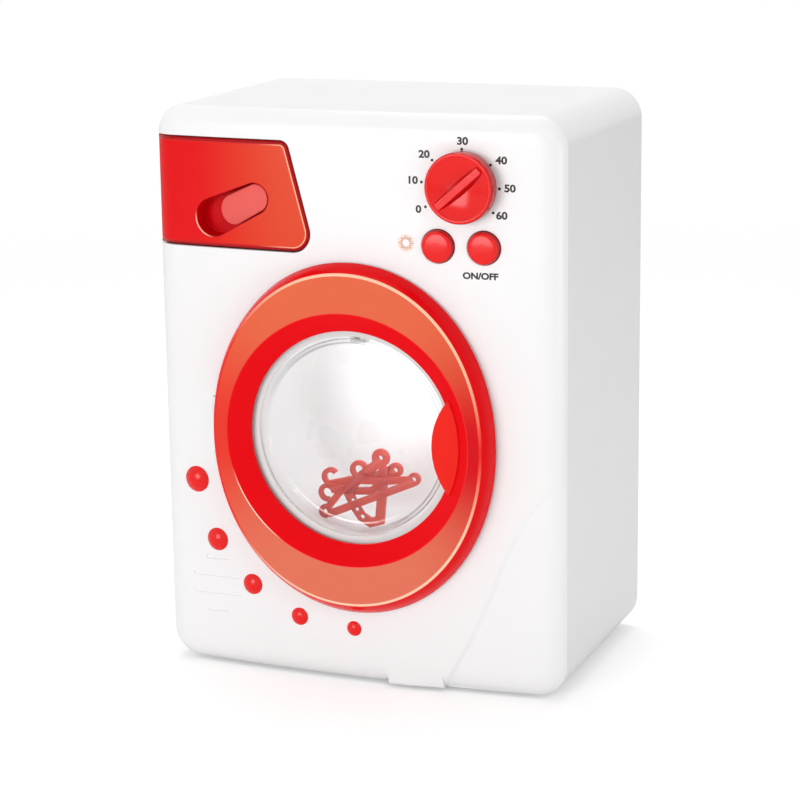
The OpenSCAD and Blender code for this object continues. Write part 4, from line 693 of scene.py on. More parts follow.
def metal(name, colour, roughness, streak_mm):
    """Plated or drawn metal: streaks a little rougher and smoother along it."""
    material, tree, out = blank(name)
    where = add(tree, "ShaderNodeTexCoord").outputs["Object"]
    stretch = add(tree, "ShaderNodeMapping", {"Vector": where})
    stretch.inputs["Scale"].default_value = (1, 0.1, 1)
    streak = add(tree, "ShaderNodeTexNoise", {"Vector": stretch.outputs[0]}, Scale=1 / (streak_mm * MM),
                 Detail=3.0)
    gloss = add(tree, "ShaderNodeMapRange", {"Value": streak.outputs["Fac"]})
    gloss.inputs["To Min"].default_value = roughness - 0.08
    gloss.inputs["To Max"].default_value = roughness + 0.08
    shader = add(tree, "ShaderNodeBsdfPrincipled", {"Roughness": gloss.outputs["Result"]}, Metallic=1.0)
    shader.inputs["Base Color"].default_value = linear(colour)
    tree.links.new(shader.outputs["BSDF"], out.inputs["Surface"])
    return material


# White ABS from a polished tool: bright and glossy, with a barely uneven gloss
white_abs = moulded("white_abs_polished", "#f4f4f4", "#f1f1f2", 0.3)
# White ABS inside the case: the same melt from a plain tool, so duller
white_inner = moulded("white_abs_plain", "#f0f0ef", "#ebebea", 0.45, grain_mm=0.4, grain_depth=0.01)
# White drum: polished inside, so the lamp and the daylight slide round it
white_drum = moulded("white_abs_drum", "#f3f3f3", "#efeff0", 0.28)
# Red ABS from a polished tool: deep red with a clear gloss
red_abs = moulded("red_abs_polished", "#ee0410", "#ea0814", 0.2, spread=0.04, Specular_IOR_Level=0.06)
# The bezel's band: the same melt, with a painted sheen that pales it to orange at the left, the top and the
# foot
red_band_painted_sheen = moulded("red_abs_band_painted_sheen", "#d80d18", "#d20b16", 0.2, spread=0.04, Specular_IOR_Level=0.1,
                   paints=(toward(DOOR, (-1, 0), "#e83a2c", -0.1, 0.8),
                           toward(DOOR, (0, 1), "#e56946", 0.1, 0.95),
                           toward(DOOR, (0, -1), "#e2745a", 0.1, 0.95)))
# Its crest: a fine bead with a pale painted highlight at the top and the foot
red_crest_painted_highlight = moulded("red_abs_crest_painted_highlight", "#f0281c", "#ec2418", 0.15, spread=0.04, Specular_IOR_Level=0.2,
                    paints=(toward(DOOR, (0.3, 0.95), "#ffc7a4", 0.3, 0.9),
                            toward(DOOR, (0.3, -0.95), "#ffcfae", 0.3, 0.9)))
# The line between cone and band: a lighter red painted highlight line, with a paler painted glint at the
# lower left
red_line_painted_highlight = moulded("red_abs_line_painted_highlight", "#ee2a20", "#ea261c", 0.15, spread=0.04, Specular_IOR_Level=0.2,
                   paints=(toward(DOOR, (-0.8, -0.6), "#ffe0cc", 0.93, 1.0),))
# The finger tab's slightly lighter red: painted lighter for the light that falls on its front-facing flat
red_tab_painted_light = moulded("red_abs_tab_painted_light", "#f02015", "#ec2419", 0.26, Specular_IOR_Level=0.1)
# The drawer's face, with a painted sheen that pales it to orange towards its right end; its edge is darker
# with painted shade
red_drawer_painted_sheen = moulded("red_abs_drawer", "#e6151a", "#e21318", 0.2, spread=0.04, Specular_IOR_Level=0.1,
                     paints=(across("#e34a2c", -76, -26),))
# Its rolled edge in painted shade, and a painted highlight line where the roll begins, paler towards the
# right
red_hem_painted_shade = moulded("red_abs_drawer_edge_painted_shade", "#b3060f", "#ad050e", 0.2, spread=0.04, Specular_IOR_Level=0.2)
red_painted_glint = moulded("red_abs_drawer_painted_glint", "#d81a18", "#d41816", 0.2, spread=0.04, Specular_IOR_Level=0.2,
                    paints=(across("#ffb48c", -45, -25),))
# The recess: its rolled rim, darker with painted shade and a pale painted glint at its lower left, its walls
# and floor in painted shade, and the pad in it paled by a painted sheen
red_rim_shade_and_glint = moulded("red_abs_recess_rim_shade_and_glint", "#c8060f", "#c4050e", 0.2, spread=0.04, Specular_IOR_Level=0.2,
                  paints=(toward(PIT[0], (-0.8, -0.6), "#ffc0a6", 0.55, 0.95),))
red_recess_painted_shade = moulded("red_abs_recess", "#d8000f", "#d2000e", 0.25, Specular_IOR_Level=0.06)
red_pad_painted_sheen = moulded("red_abs_pad_painted_sheen", "#ee6660", "#eb625c", 0.3, Specular_IOR_Level=0.15)
# Dial, buttons and bubbles: the same red from a second shot, with painted shade where their surfaces turn
# away from the front
red_knob_painted_edge_shade = moulded("red_abs_knob_painted_edge_shade", "#ee1310", "#ea1713", 0.16, spread=0.04, Specular_IOR_Level=0.3,
                   paints=(painted_edge_shade("#b8050e", 0.8, 0.45),))
# Clear polystyrene of the window: hard and bright, greyer along its walls
window_ps = clear_plastic("clear_polystyrene", "#fdfdfd", "#a6abae", 0.03, 1.5)
# Clear lens of the drum lamp
lamp_ps = clear_plastic("clear_lamp_lens", "#fffbe8", "#c9c4ae", 0.05, 1.49)
# Translucent red polypropylene of the hangers: soft gloss, darker where two lie on each other
hanger_pp = tinted_plastic("red_polypropylene_clear", "#e23a2e", "#f7a48c", 0.5, 0.95, 0.3)
# Printed inks: flat and a little rough
black_ink = moulded("black_pad_print", "#171515", "#1c1a1a", 0.55, flow_mm=4)
sign_ink = moulded("tan_pad_print", "#cf8a68", "#c98260", 0.55, flow_mm=4)
glow_ink = moulded("pale_glow_print", "#f9e3d6", "#f7dfd0", 0.5, flow_mm=4)
# Grey rubber of the feet
foot_rubber = moulded("grey_rubber", "#8d8f91", "#85878a", 0.75, grain_mm=0.5, grain_depth=0.02)
# Grey ABS of the frame that carries the drive
frame_abs = moulded("grey_abs_frame", "#c6c8ca", "#bfc1c4", 0.5, grain_mm=0.5, grain_depth=0.01)
# Acetal gears: waxy and cream coloured
acetal = moulded("ivory_acetal", "#efe9d6", "#e9e2cc", 0.42, ior=1.48)
# Green laminate of the control board, and black polyamide of its switches and the motor
board_frp = moulded("green_board_laminate", "#1f6b3c", "#236f3f", 0.4, grain_mm=0.6, grain_depth=0.01,
                    flow_mm=3)
black_pa = moulded("black_polyamide", "#1d1e20", "#222326", 0.45, flow_mm=5)
# Dark paper cone of the speaker, and the printed film round the cells
speaker_dark = moulded("dark_speaker_paper", "#2a2a2d", "#323236", 0.7, grain_mm=0.6, grain_depth=0.03)
cell_film = moulded("gold_cell_film", "#b98a3a", "#b08233", 0.3, flow_mm=8)
# Soft PVC of the leads
wire_red = moulded("red_pvc_lead", "#c22020", "#b81c1c", 0.45, flow_mm=4)
wire_blue = moulded("blue_pvc_lead", "#2450b4", "#204aa8", 0.45, flow_mm=4)
wire_yellow = moulded("yellow_pvc_lead", "#e0b828", "#d8ae20", 0.45, flow_mm=4)
# Zinc plated steel of screws and pins, spring steel, and brass of the bush
steel = metal("zinc_plated_steel", "#c4c6c8", 0.32, 3)
spring_steel = metal("bright_spring_steel", "#d2d3d4", 0.22, 2)
brass = metal("turned_brass", "#cfa85a", 0.28, 2)

NODE_MATERIALS = {
    "case_white": white_inner, "foot_rubber": foot_rubber, "door_red": red_abs, "pull_red": red_tab_painted_light,
    "window_clear": window_ps, "inner_white": white_inner, "drum_white": white_drum,
    "drawer_red": red_drawer_painted_sheen, "knob_red": red_knob_painted_edge_shade, "hanger_red": hanger_pp, "steel": steel,
    "spring_steel": spring_steel, "brass": brass, "board_green": board_frp, "switch_black": black_pa,
    "lamp_clear": lamp_ps, "speaker_dark": speaker_dark, "gear_ivory": acetal, "frame_grey": frame_abs,
    "cell_label": cell_film, "wire_red": wire_red, "wire_blue": wire_blue, "wire_yellow": wire_yellow}


# Front shell
def tube(centre, outer, bore, y0, y1, count=48):
    """A plain tube along y."""
    return turned(centre, [[bore, y0], [outer, y0], [outer, y1], [bore, y1], [bore, y0]], count)


def rounded_box(x0, z0, x1, z1, radius, steps=8):
    """A rectangle with round corners."""
    return rounded([(x0, z0, radius), (x1, z0, radius), (x1, z1, radius), (x0, z1, radius)], steps)


def opening(loop, radius, height, depth):
    """The wall of an opening from its rolled edge to the inner side, and back to where the inner
    sheet begins."""
    rows = rim(loop, 1, radius, height)
    inner = offset(loop, radius)
    rows.append(at_height(loop, height(loop) + depth))
    rows.append(at_height(inner, height(inner) + depth))
    return lofted(rows), inner


FRONT_ROUND = 0.35
DRAWER_LOW_X = -15.6
DRAWER_TOP_X = -28.2
SKIN_INSETS = (0.0, 0.5, 1.2, 2.1, 3.2, 4.5, 6.0, 7.6, 9.5)


def drawer_corners(grow, left):
    """The drawer's right-hand corners and left ends, from low left counterclockwise."""
    return [(left, DRAWER_Z - grow, 0), (DRAWER_LOW_X + grow, DRAWER_Z - grow, 8.5 + grow),
            (DRAWER_TOP_X + grow * 1.2, DRAWER_TOP + grow, 4.5 + grow), (left, DRAWER_TOP + grow, 0)]


def edge_points(loop, left):
    """The loop with points added where its level sides cross the rounded edge at the left."""
    out = []
    for here, after in zip(loop, np.roll(loop, -1, 0)):
        out.append(here[None])
        if here[1] == after[1] and min(here[0], after[0]) <= left:
            x = -HALF_W + np.array(SKIN_INSETS[1:])
            x = x if after[0] > here[0] else x[::-1]
            out.append(np.stack([x, np.full(len(x), here[1])], 1))
    return densified(np.concatenate(out), 2.5)


def outward(loop, left):
    """Outward normals of a loop, level at its ends on the case's left side."""
    normal = offset(loop, 1.0) - loop
    normal[loop[:, 0] <= left + 1e-6, 0] = 0
    return normal


def hem(loop, weight, left, radius, height, inner):
    """Rows over the edge of a shell's skin, from its outer plate to its inner one: a rolled edge
    and a wall where the weight is 1, and where it is 0 the skin runs out to nothing."""
    normal = outward(loop, left)
    rows = []
    for a in np.linspace(0, np.pi / 2, HEM_STEPS + 1):
        row = loop - normal * (weight * radius * (1 - math.sin(a)))[:, None]
        rows.append(at_height(row, np.minimum(height(row) + weight * radius * (1 - math.cos(a)), inner(row))))
    rows.append(at_height(loop, inner(loop)))
    edge = loop - normal * (weight * radius)[:, None]
    rows.append(at_height(edge, inner(edge)))
    return rows, edge


def ring_line(inset):
    """A line round the case at an inset, open at the drawer."""
    r = CORNER_R - inset
    loop = densified(rounded_box(-HALF_W + inset, inset, HALF_W - inset, CASE_H - inset, r, 12), 3.0)
    low = (loop[:, 0] < -HALF_W + inset + 0.1) & (loop[:, 1] < DRAWER_Z - 1.5) & (loop[:, 1] > CORNER_R)
    first = int(np.argmax(np.where(low, loop[:, 1], -1)))
    loop = np.roll(loop, -first, 0)
    near = (loop[:, 0] < -HALF_W + inset + 0.1) & (np.abs(loop[:, 1] - (DRAWER_Z + DRAWER_TOP) / 2)
                                                  < (DRAWER_TOP - DRAWER_Z) / 2 + 1.5)
    return np.roll(loop, -1, 0)[~np.roll(near, -1)] if near[0] else loop[~near]


def closed_line(loop):
    """A loop as a line that ends where it starts."""
    return np.concatenate([loop, loop[:1]])


def groove_lines():
    """Lines along the rims and floors of the engraved lines."""
    lines = []
    for x, length, z in GROOVES:
        for grow in (-GROOVE_SOFT, GROOVE_SOFT):
            end = (np.array([x + length, z]), GROOVE_HALF + grow)
            lines.append(closed_line(tapered((np.array([x, z]), GROOVE_DOT + grow), end, steps=8)))
    return lines


def step_lines():
    """Lines along the stepped panel's edge, from its high side to its low side."""
    lines = []
    ahead = unit(np.gradient(step_line, axis=0))
    normal = np.stack([-ahead[:, 1], ahead[:, 0]], 1)
    for shift in np.linspace(-STEP_SOFT, STEP_SOFT, 5):
        line = step_line + normal * shift
        lines.append(line[edge_distance(*line.T) > 0.9])
    return lines


def inner_front(points):
    """The front shell's inner side: the skin a wall further back, ending at the parting line."""
    return np.minimum(front_y(points) + WALL, -bow(points[:, 0]))


def front_shell():
    """The case's front: a bowed skin with a rolled edge at each opening, its collar and bosses."""
    loop = rounded([(-HALF_W, 0, CORNER_R), (HALF_W, 0, CORNER_R), (HALF_W, CASE_H, CORNER_R),
                    (-HALF_W, CASE_H, CORNER_R), *drawer_corners(0, -HALF_W)[::-1]], 14)
    past = (loop[:, 0] < -HALF_W + 1) & (loop[:, 1] > DRAWER_Z + 1) & (loop[:, 1] < DRAWER_TOP - 0.01)
    loop = edge_points(loop[~past], -HALF_W)
    drawer_side = ((loop[:, 1] > DRAWER_Z - 0.01) & (loop[:, 1] < DRAWER_TOP + 0.01)
                   & (loop[:, 0] < DRAWER_LOW_X + 0.01))
    rows, outer = hem(loop, drawer_side.astype(float), -HALF_W, FRONT_ROUND, front_y, inner_front)
    parts = [lofted(rows)]
    slots = [rounded_box(HINGE_X - 2.0, z - HINGE_ARM_HALF, HINGE_X + 2.8, z + HINGE_ARM_HALF, 0.3, 3)
             for z in (DOOR[1] - HINGE_ARM_Z, DOOR[1] + HINGE_ARM_Z)]
    latch_left, latch_right, latch_half = LATCH_SLOT
    slots.append(rounded_box(latch_left, DOOR[1] - latch_half, latch_right, DOOR[1] + latch_half, 0.3, 3))
    openings = [(ring(DOOR, MOUTH_R, 180), 0.6), (ring(DIAL, DIAL_BORE, 32), 0.2)]
    openings += [(ring(at, BUTTON_R + BUTTON_GAP, 72), 0.3) for at in BUTTONS.values()]
    openings += [(slot, 0.2) for slot in slots]
    holes = []
    for hole, radius in openings:
        wall, inner = opening(hole, radius, front_y, WALL)
        parts.append(wall)
        holes.append(inner)
    lines = [ring_line(inset) for inset in SKIN_INSETS[1:]] + groove_lines() + step_lines()
    flat, triangles = plate(outer, holes, lines, 4.0)
    parts.append(sheet_of(flat, triangles, front_y(flat)))
    parts.append(sheet_of(flat, triangles, inner_front(flat), inner=True))
    collar = ring(DOOR, 1.0, 180) - DOOR
    inner_rows = [at_height(DOOR + collar * r, front_y(DOOR + collar * MOUTH_R) + WALL - 0.3)
                  for r in (MOUTH_R + 0.01, MOUTH_R + WALL)]
    inner_rows += [at_height(DOOR + collar * r, RING_Y) for r in (MOUTH_R + WALL, MOUTH_R + 0.01)]
    parts.append(lofted(inner_rows, closed=True))
    parts += [tube(at, 4.0, 1.5, face_y(at[0]) + 4.5, 4.0, 32) for at in CASE_SCREWS]
    parts += [tube(at, 2.6, 1.2, face_y(at[0]) + WALL * 0.9, 7.0, 24) for at in BOARD_POSTS]
    parts += [tube(at, 3.5, 1.2, face_y(at[0]) + WALL * 0.9, 6.0, 24) for at in GUIDE_POSTS]
    made("front_panel", parts, "case", white_abs, ["front_shell"])
    kick_strip()


def kick_strip():
    """The strip under the front, where the skin runs straight down instead of curving back: at each
    x its section goes from lying in the skin to standing out to the strip's depth."""
    slant = np.linspace(KICK_LEFT, KICK_LEFT + KICK_SLANT, 7)
    x = np.concatenate([slant, np.linspace(16, KICK_RIGHT, 20)])[:, None]
    share = smooth((x - KICK_LEFT) / KICK_SLANT) * (0.7 + 0.3 * smooth((KICK_RIGHT + 0.2 - x) / 20))
    z = np.array([KICK_TOP, 6.0, 4.5, 3.0, 1.8, 0.9, 0.4, 0.1])[None]
    reach = (EDGE_WIDTH - z) / EDGE_R
    skin = -EDGE_RISE + EDGE_R * (1 - np.sqrt(1 - reach ** 2)) + 0.04
    stand = -EDGE_RISE + 0.22 + 0.06 * (KICK_TOP - z) + 0.9 * np.clip((0.9 - z) / 0.8, 0, 1) ** 2
    y = skin + share * (np.minimum(stand, skin) - skin) - bow(x)
    height = z - 0.5 * share * np.clip((1.8 - z) / 1.8, 0, 1)
    front = np.stack([np.broadcast_to(x, y.shape), y, np.broadcast_to(height, y.shape)], -1)
    under = np.stack([x, -0.9 - bow(x), 0.1 - 0.4 * share], -1)
    top = np.stack([x, -0.9 - bow(x), np.full(x.shape, KICK_TOP)], -1)
    points, faces = lofted(np.concatenate([front, under, top], 1), capped=True)
    faces.append(list(range(z.shape[1] + 2))[::-1])
    made("kick_strip", [(points, faces)], "case", white_abs, ())


def rear_shell():
    """The case's back half: sides, top and bottom in one wall round the outline, rolled over into
    the back with its screw wells, speaker holes and battery opening."""
    loop = densified(rounded_box(-HALF_W, 0, HALF_W, CASE_H, CORNER_R, 14), 3.0)
    front = -bow(loop[:, 0])
    rows = [at_height(offset(loop, -WALL), BACK_INNER), at_height(offset(loop, -WALL), front)]
    for a in np.linspace(0, np.pi / 2, 5):
        rows.append(at_height(offset(loop, -SEAM_ROUND * (1 - math.sin(a))),
                              front + SEAM_ROUND * (1 - math.cos(a))))
    for y in (10, 30, 60, 85, 100):
        rows.append(at_height(loop, float(y)))
    for a in np.linspace(0, np.pi / 2, 7):
        rows.append(at_height(offset(loop, -BACK_ROUND * (1 - math.cos(a))),
                              CASE_D - BACK_ROUND * (1 - math.sin(a))))
    parts = [lofted(rows)]
    holes = [ring(at, 3.0, 40) for at in CASE_SCREWS]
    grille = [ring(SPEAKER + SPEAKER_PITCH * k * np.array([math.cos(a), math.sin(a)]), SPEAKER_HOLE_R, 20)
              for k in (1, 2) for a in np.arange(6 * k) * np.pi / 3 / k]
    holes += [ring(SPEAKER, SPEAKER_HOLE_R, 20), *grille, rounded_box(*BATTERY_HOLE, 1.0, 5)]
    radius = 0.25
    bounds = [offset(hole, radius) for hole in holes]
    outer = offset(loop, -BACK_ROUND)
    flat, triangles = plate(outer, bounds, (), 9.0)
    parts.append(sheet_of(flat, triangles, CASE_D, inner=True))
    inner_outer = offset(loop, -WALL)
    flat, triangles = plate(inner_outer, bounds, (), 9.0)
    parts.append(sheet_of(flat, triangles, BACK_INNER))
    for k, hole in enumerate(holes):
        steps = np.linspace(0, np.pi / 2, 4)
        wall = [at_height(offset(hole, radius * (1 - math.sin(a))), CASE_D - radius * (1 - math.cos(a)))
                for a in steps]
        wall += [at_height(hole, BACK_INNER), at_height(bounds[k], BACK_INNER)]
        parts.append(lofted(wall))
    well = [[0, 7.0], [3.0, 7.0], [3.0, BACK_INNER + 0.5], [4.0, BACK_INNER + 0.5], [4.0, 4.0], [0, 4.0]]
    parts += [turned(at, well, 40) for at in CASE_SCREWS]
    made("rear_case", parts, "case", white_abs, ["rear_shell"])


# Door
def oval(a, b, turn):
    """A slightly squared ellipse: cosine and sine to the power 2 / 2.06, times its half axes."""
    c, s = np.cos(turn), np.sin(turn)
    power = 2 / OVAL_POWER
    return np.stack([a * np.sign(c) * np.abs(c) ** power, b * np.sign(s) * np.abs(s) ** power], 1)


HINGE_Y = face_y(HINGE_X) - DOOR_GAP - 6
FLANGE_Y = WINDOW_Y + LIP_T
NOTCH_HALF_H = 16.0
NOTCH_Y = HINGE_Y - 2.9


def fillet_rows(rows, radii):
    """Rows round a closed section, whose corners become curves: each is a quadratic between two
    points that lie the radius away from the corner along the section, worked out for all columns."""
    count = len(rows)
    t = np.linspace(0, 1, FILLET_STEPS + 1)
    out = []
    for k, radius in enumerate(radii):
        corner, before, after = rows[k], rows[k - 1], rows[(k + 1) % count]
        if radius <= 0:
            out.append(corner)
            continue
        to_before, to_after = before - corner, after - corner
        span_b = np.linalg.norm(to_before, axis=1, keepdims=True) + 1e-9
        span_a = np.linalg.norm(to_after, axis=1, keepdims=True) + 1e-9
        a = corner + to_before / span_b * np.minimum(radius, span_b * 0.48)
        b = corner + to_after / span_a * np.minimum(radius, span_a * 0.48)
        out += [(1 - s) ** 2 * a + 2 * s * (1 - s) * corner + s ** 2 * b for s in t]
    return out


def door_ring():
    """The red bezel: rows of a circle at the window and of ovals from the crest to the foot, cut
    short over the hinge, joined in a closed section."""
    notch = math.asin((NOTCH_HALF_H / ((CREST[1] + BASE[1]) / 2)) ** (OVAL_POWER / 2))
    edges = np.array([np.pi - notch - 4e-4, np.pi - notch + 4e-4, np.pi + notch - 4e-4, np.pi + notch + 4e-4])
    turn = np.unique(np.concatenate([np.linspace(0, 2 * np.pi, 256, endpoint=False), edges]))
    cut = np.abs(turn - np.pi) < notch

    def circle_row(radius, y):
        """A circle about the door's middle at a height."""
        return at_height(np.stack([radius * np.cos(turn), DOOR[1] + radius * np.sin(turn)], 1), y)

    def oval_row(a, b, y, drop=0.0):
        """An oval of two half axes, a little lower by the drop; without a height it follows the bow."""
        p = oval(a, b, turn) + [0, DOOR[1] - drop]
        return at_height(p, face_y(p[:, 0]) - DOOR_GAP if y is None else y)

    mid = (CREST_Y + FACE_MID - DOOR_GAP) / 2
    band_t = BEZEL_WALL + 0.4
    rows = [circle_row(WINDOW_R, FLANGE_Y), circle_row(WINDOW_R, WINDOW_Y), circle_row(CONE_R, CREST_Y + 0.5),
            oval_row(CREST[0] - 1, CREST[1] - 1, CREST_Y), oval_row(*CREST, CREST_Y + 0.5),
            oval_row((CREST[0] + BASE[0]) / 2 + 0.3, (CREST[1] + BASE[1]) / 2 + 0.3, mid, FOOT_DROP / 2),
            oval_row(*BASE, None, FOOT_DROP),
            oval_row(BASE[0] - BEZEL_WALL, BASE[1] - BEZEL_WALL, None, FOOT_DROP),
            oval_row(CREST[0] - BEZEL_WALL, CREST[1] - BEZEL_WALL, CREST_Y + band_t),
            circle_row(CONE_R, CREST_Y + 0.5 + band_t), circle_row(WINDOW_R + 1.3, FLANGE_Y)]
    share = (NOTCH_Y - CREST_Y - 0.5) / (mid - CREST_Y - 0.5)
    edge = rows[4] + share * (rows[5] - rows[4])
    lip = rows[8] * [1, 0, 1] + [0, NOTCH_Y, 0]
    for k, short in zip((5, 6, 7, 8), (edge, edge, (edge + lip) / 2, lip)):
        rows[k] = np.where(cut[:, None], short, rows[k])
    radii = [0.2, 0.4, 0.4, 0.9, 1.1, 2.5, 0.35, 0.2, 0.3, 0.3, 0.2]
    points, faces = lofted(fillet_rows(rows, radii), closed=True)
    strip = np.repeat(np.arange(len(faces) // len(turn)), len(turn))
    cone_edge, crest = 2 * (FILLET_STEPS + 1), 3 * (FILLET_STEPS + 1)
    starts = (cone_edge + 1, cone_edge + 4, crest + 2, crest + 8)
    # The strips at the cone's edge take a painted highlight line, the band a painted sheen and the crest a
    # painted highlight; the rest is plain red.
    finishes = [red_abs, red_line_painted_highlight, red_band_painted_sheen, red_crest_painted_highlight]
    parts = [(points, faces, np.searchsorted(starts, strip, side="right") % len(finishes))]
    for x in (-DOOR_SCREW_X, DOOR_SCREW_X):
        for z in (DOOR[1] - CONE_R - DOOR_SCREW_RISE, DOOR[1] + CONE_R + DOOR_SCREW_RISE):
            parts.append(tube((x, z), 2.5, 1.2, CREST_Y + band_t / 2, FACE_MID - DOOR_GAP - 1.7, 24))
    made("door_bezel", parts, "door", finishes, ["door_ring"], sharp=50)


def door_window():
    """The clear window: a flat flange and a shallow bowl whose floor is slightly domed."""
    f = FLANGE_Y
    r = np.linspace(0, 1, 12)
    front = [[BOWL_FLOOR_R * t, f + BOWL_DEPTH + BOWL_DOME * (1 - t * t)] for t in r]
    back = [[(BOWL_FLOOR_R + 0.8) * t, f + BOWL_DEPTH + GLASS_T + BOWL_DOME * (1 - t * t)] for t in r[::-1]]
    wall = [[BOWL_R - 1.2, f + BOWL_DEPTH - 1.0], [BOWL_R, f]]
    flange = [[FLANGE_R, f], [FLANGE_R, f + FLANGE_T], [BOWL_R + 1.4, f + FLANGE_T]]
    profile = front + wall + flange + [[BOWL_R + 0.4, f + BOWL_DEPTH - 0.6]] + back
    radii = [0] * 10 + [1.2, 0.6, 0.7, 0.3, 0.3, 0.7, 0.6, 1.2] + [0] * 11
    made("door_glass", [turned((0, DOOR[1]), filleted(profile, radii, 6), 192)], "door", window_ps,
         ["door_window"])


TAB_Y = WINDOW_Y - 1.1
TAB_T = 2.0
TAB_RISE = 6.6
TAB_ARC_R = ((39 / 2) ** 2 + TAB_RISE ** 2) / (2 * TAB_RISE)
TAB_TIP_X = WINDOW_R + 2 - 11


def tab_loop(y):
    """The finger tab's outline at a height: an arc against the cone and a flatter one to the
    window, which end where the two circles cross."""
    cone = WINDOW_R + (WINDOW_Y - y) * (CONE_R - WINDOW_R) / (WINDOW_Y - CREST_Y - 0.5) - 0.06
    middle = TAB_TIP_X + TAB_ARC_R
    cross = (cone ** 2 - TAB_ARC_R ** 2 + middle ** 2) / (2 * middle)
    high = math.sqrt(cone ** 2 - cross ** 2)
    half_cone = math.atan2(high, cross)
    half_arc = math.atan2(high, middle - cross)
    right = np.linspace(-half_cone, half_cone, 40)
    left = np.linspace(np.pi - half_arc, np.pi + half_arc, 48)[1:-1]
    against = cone * np.stack([np.cos(right), np.sin(right)], 1)
    free = [middle, 0] + TAB_ARC_R * np.stack([np.cos(left), np.sin(left)], 1)
    return np.concatenate([against, free]) + [0, DOOR[1]]


def door_pull():
    """The finger tab: a thin lens with a rolled front edge."""
    front = TAB_Y - TAB_T
    soft = 0.6
    rows = [at_height(tab_loop(TAB_Y), TAB_Y), at_height(tab_loop(front + soft), front + soft)]
    for a in np.linspace(0, np.pi / 2, 6)[1:]:
        rows.append(at_height(offset(tab_loop(front + soft), -soft * (1 - math.cos(a))),
                              front + soft * (1 - math.sin(a))))
    points, faces = lofted(rows, capped=True)
    faces.append(list(range(len(rows[0])))[::-1])
    made("door_tab", [(points, faces)], "door", red_tab_painted_light, ["door_pull"])


# Drum
def drum():
    """The drum: a plain bowl on its side, with soft corners, and its hub behind."""
    back = DRUM_BACK
    outer_r = DRUM_R + DRUM_WALL
    bowl = [[0, back - DRUM_WALL], [DRUM_R, back - DRUM_WALL], [DRUM_R, DRUM_Y], [outer_r, DRUM_Y],
            [outer_r, back]]
    hub = [[HUB_R, back], [HUB_R, back + HUB_LENGTH], [SHAFT_R, back + HUB_LENGTH],
           [SHAFT_R, back - DRUM_WALL / 2], [0, back - DRUM_WALL / 2]]
    profile = bowl + hub
    radii = [7.0, 0.5, 0.5, 3.0, 0.4, 0.3, 0.2, 0]
    made("wash_drum", [turned((0, DOOR[1]), filleted(profile, radii, 9), 192)], "drum", white_drum,
         ["drum"])


# Drawer front
LEFT_END = HALF_W - 0.287
RECESS_Y = face_y(PIT[0][0]) + RECESS_DEPTH


def drawer_front():
    """The drawer's front: the case's own skin inside the drawer's outline, with a rolled edge, and
    a finger recess with a sloped pad that rises from its floor."""
    loop = edge_points(rounded(drawer_corners(-DRAWER_GAP, -LEFT_END), 12), -LEFT_END)
    away = (loop[:, 0] > -LEFT_END + 1e-6) | (np.abs(loop[:, 1] - DRAWER_Z - 24) > 24 - DRAWER_GAP - 1e-6)

    def inner(points):
        """The front's inner side, a gap clear of the parting line."""
        return np.minimum(skin_y(points) + WALL, -bow(points[:, 0]) - DRAWER_GAP)

    rows, outer = hem(loop, away.astype(float), -LEFT_END, DRAWER_ROUND, skin_y, inner)
    points, faces = lofted(rows)
    strip = np.repeat(np.arange(len(rows) - 1), len(loop))
    # The rolled edge takes painted shade and, on its first strip, a painted highlight; the recess walls and
    # floor take painted shade, and its rim a painted glint.
    finishes = [red_drawer_painted_sheen, red_hem_painted_shade, red_painted_glint, red_recess_painted_shade, red_rim_shade_and_glint]
    drawer_hem_painted_shade, glint, well_painted_shade, well_rim_painted_glint = 1, 2, 3, 4
    parts = [(points, faces, np.where(strip == 0, glint, drawer_hem_painted_shade))]
    recess = densified(tapered(PIT, PIT_END), 2.0)
    hole = offset(recess, RECESS_ROUND)
    flat, triangles = plate(outer, [hole], [], 3.5)
    parts.append(sheet_of(flat, triangles, skin_y(flat)))
    parts.append(sheet_of(flat, triangles, inner(flat), inner=True))
    well = rim(recess, 1, RECESS_ROUND, skin_y)
    for a in np.linspace(0, np.pi / 2, 5):
        well.append(at_height(offset(recess, -RECESS_FLOOR_ROUND * (1 - math.cos(a))),
                              RECESS_Y - RECESS_FLOOR_ROUND * (1 - math.sin(a))))
    points, faces = lofted(well)
    strip = np.repeat(np.arange(len(well) - 1), len(recess))
    parts.append((points, faces, np.where(strip < RIM_STEPS, well_rim_painted_glint, well_painted_shade)))
    flat, triangles = plate(offset(recess, -RECESS_FLOOR_ROUND), (), (), 4.0)
    parts.append((*sheet_of(flat, triangles, RECESS_Y), well_painted_shade))
    cup = offset(recess, RECESS_WALL)
    cup_y = RECESS_Y + RECESS_WALL
    parts.append(lofted([at_height(hole, inner(hole)), at_height(cup, inner(cup)), at_height(cup, cup_y)]))
    flat, triangles = plate(cup, (), (), 4.0)
    parts.append(sheet_of(flat, triangles, cup_y, inner=True))
    parts += [tube(at, 3.0, 1.2, face_y(at[0]) + WALL * 0.6, cup_y + 0.3, 24) for at in DRAWER_POSTS]
    made("drawer_face", parts, "drawer", finishes, ["drawer_front"])
    drawer_pad()


def pad_y(points):
    """The pad's slope: a plane from its low left end to its high right end."""
    x0, x1 = RAMP_FOOT[0][0] - RAMP_FOOT[1], RAMP_END[0][0] + RAMP_END[1]
    y0, y1 = face_y(x0) + RAMP_LOW, face_y(x1) + RAMP_HIGH
    return y0 + (points[:, 0] - x0) * (y1 - y0) / (x1 - x0)


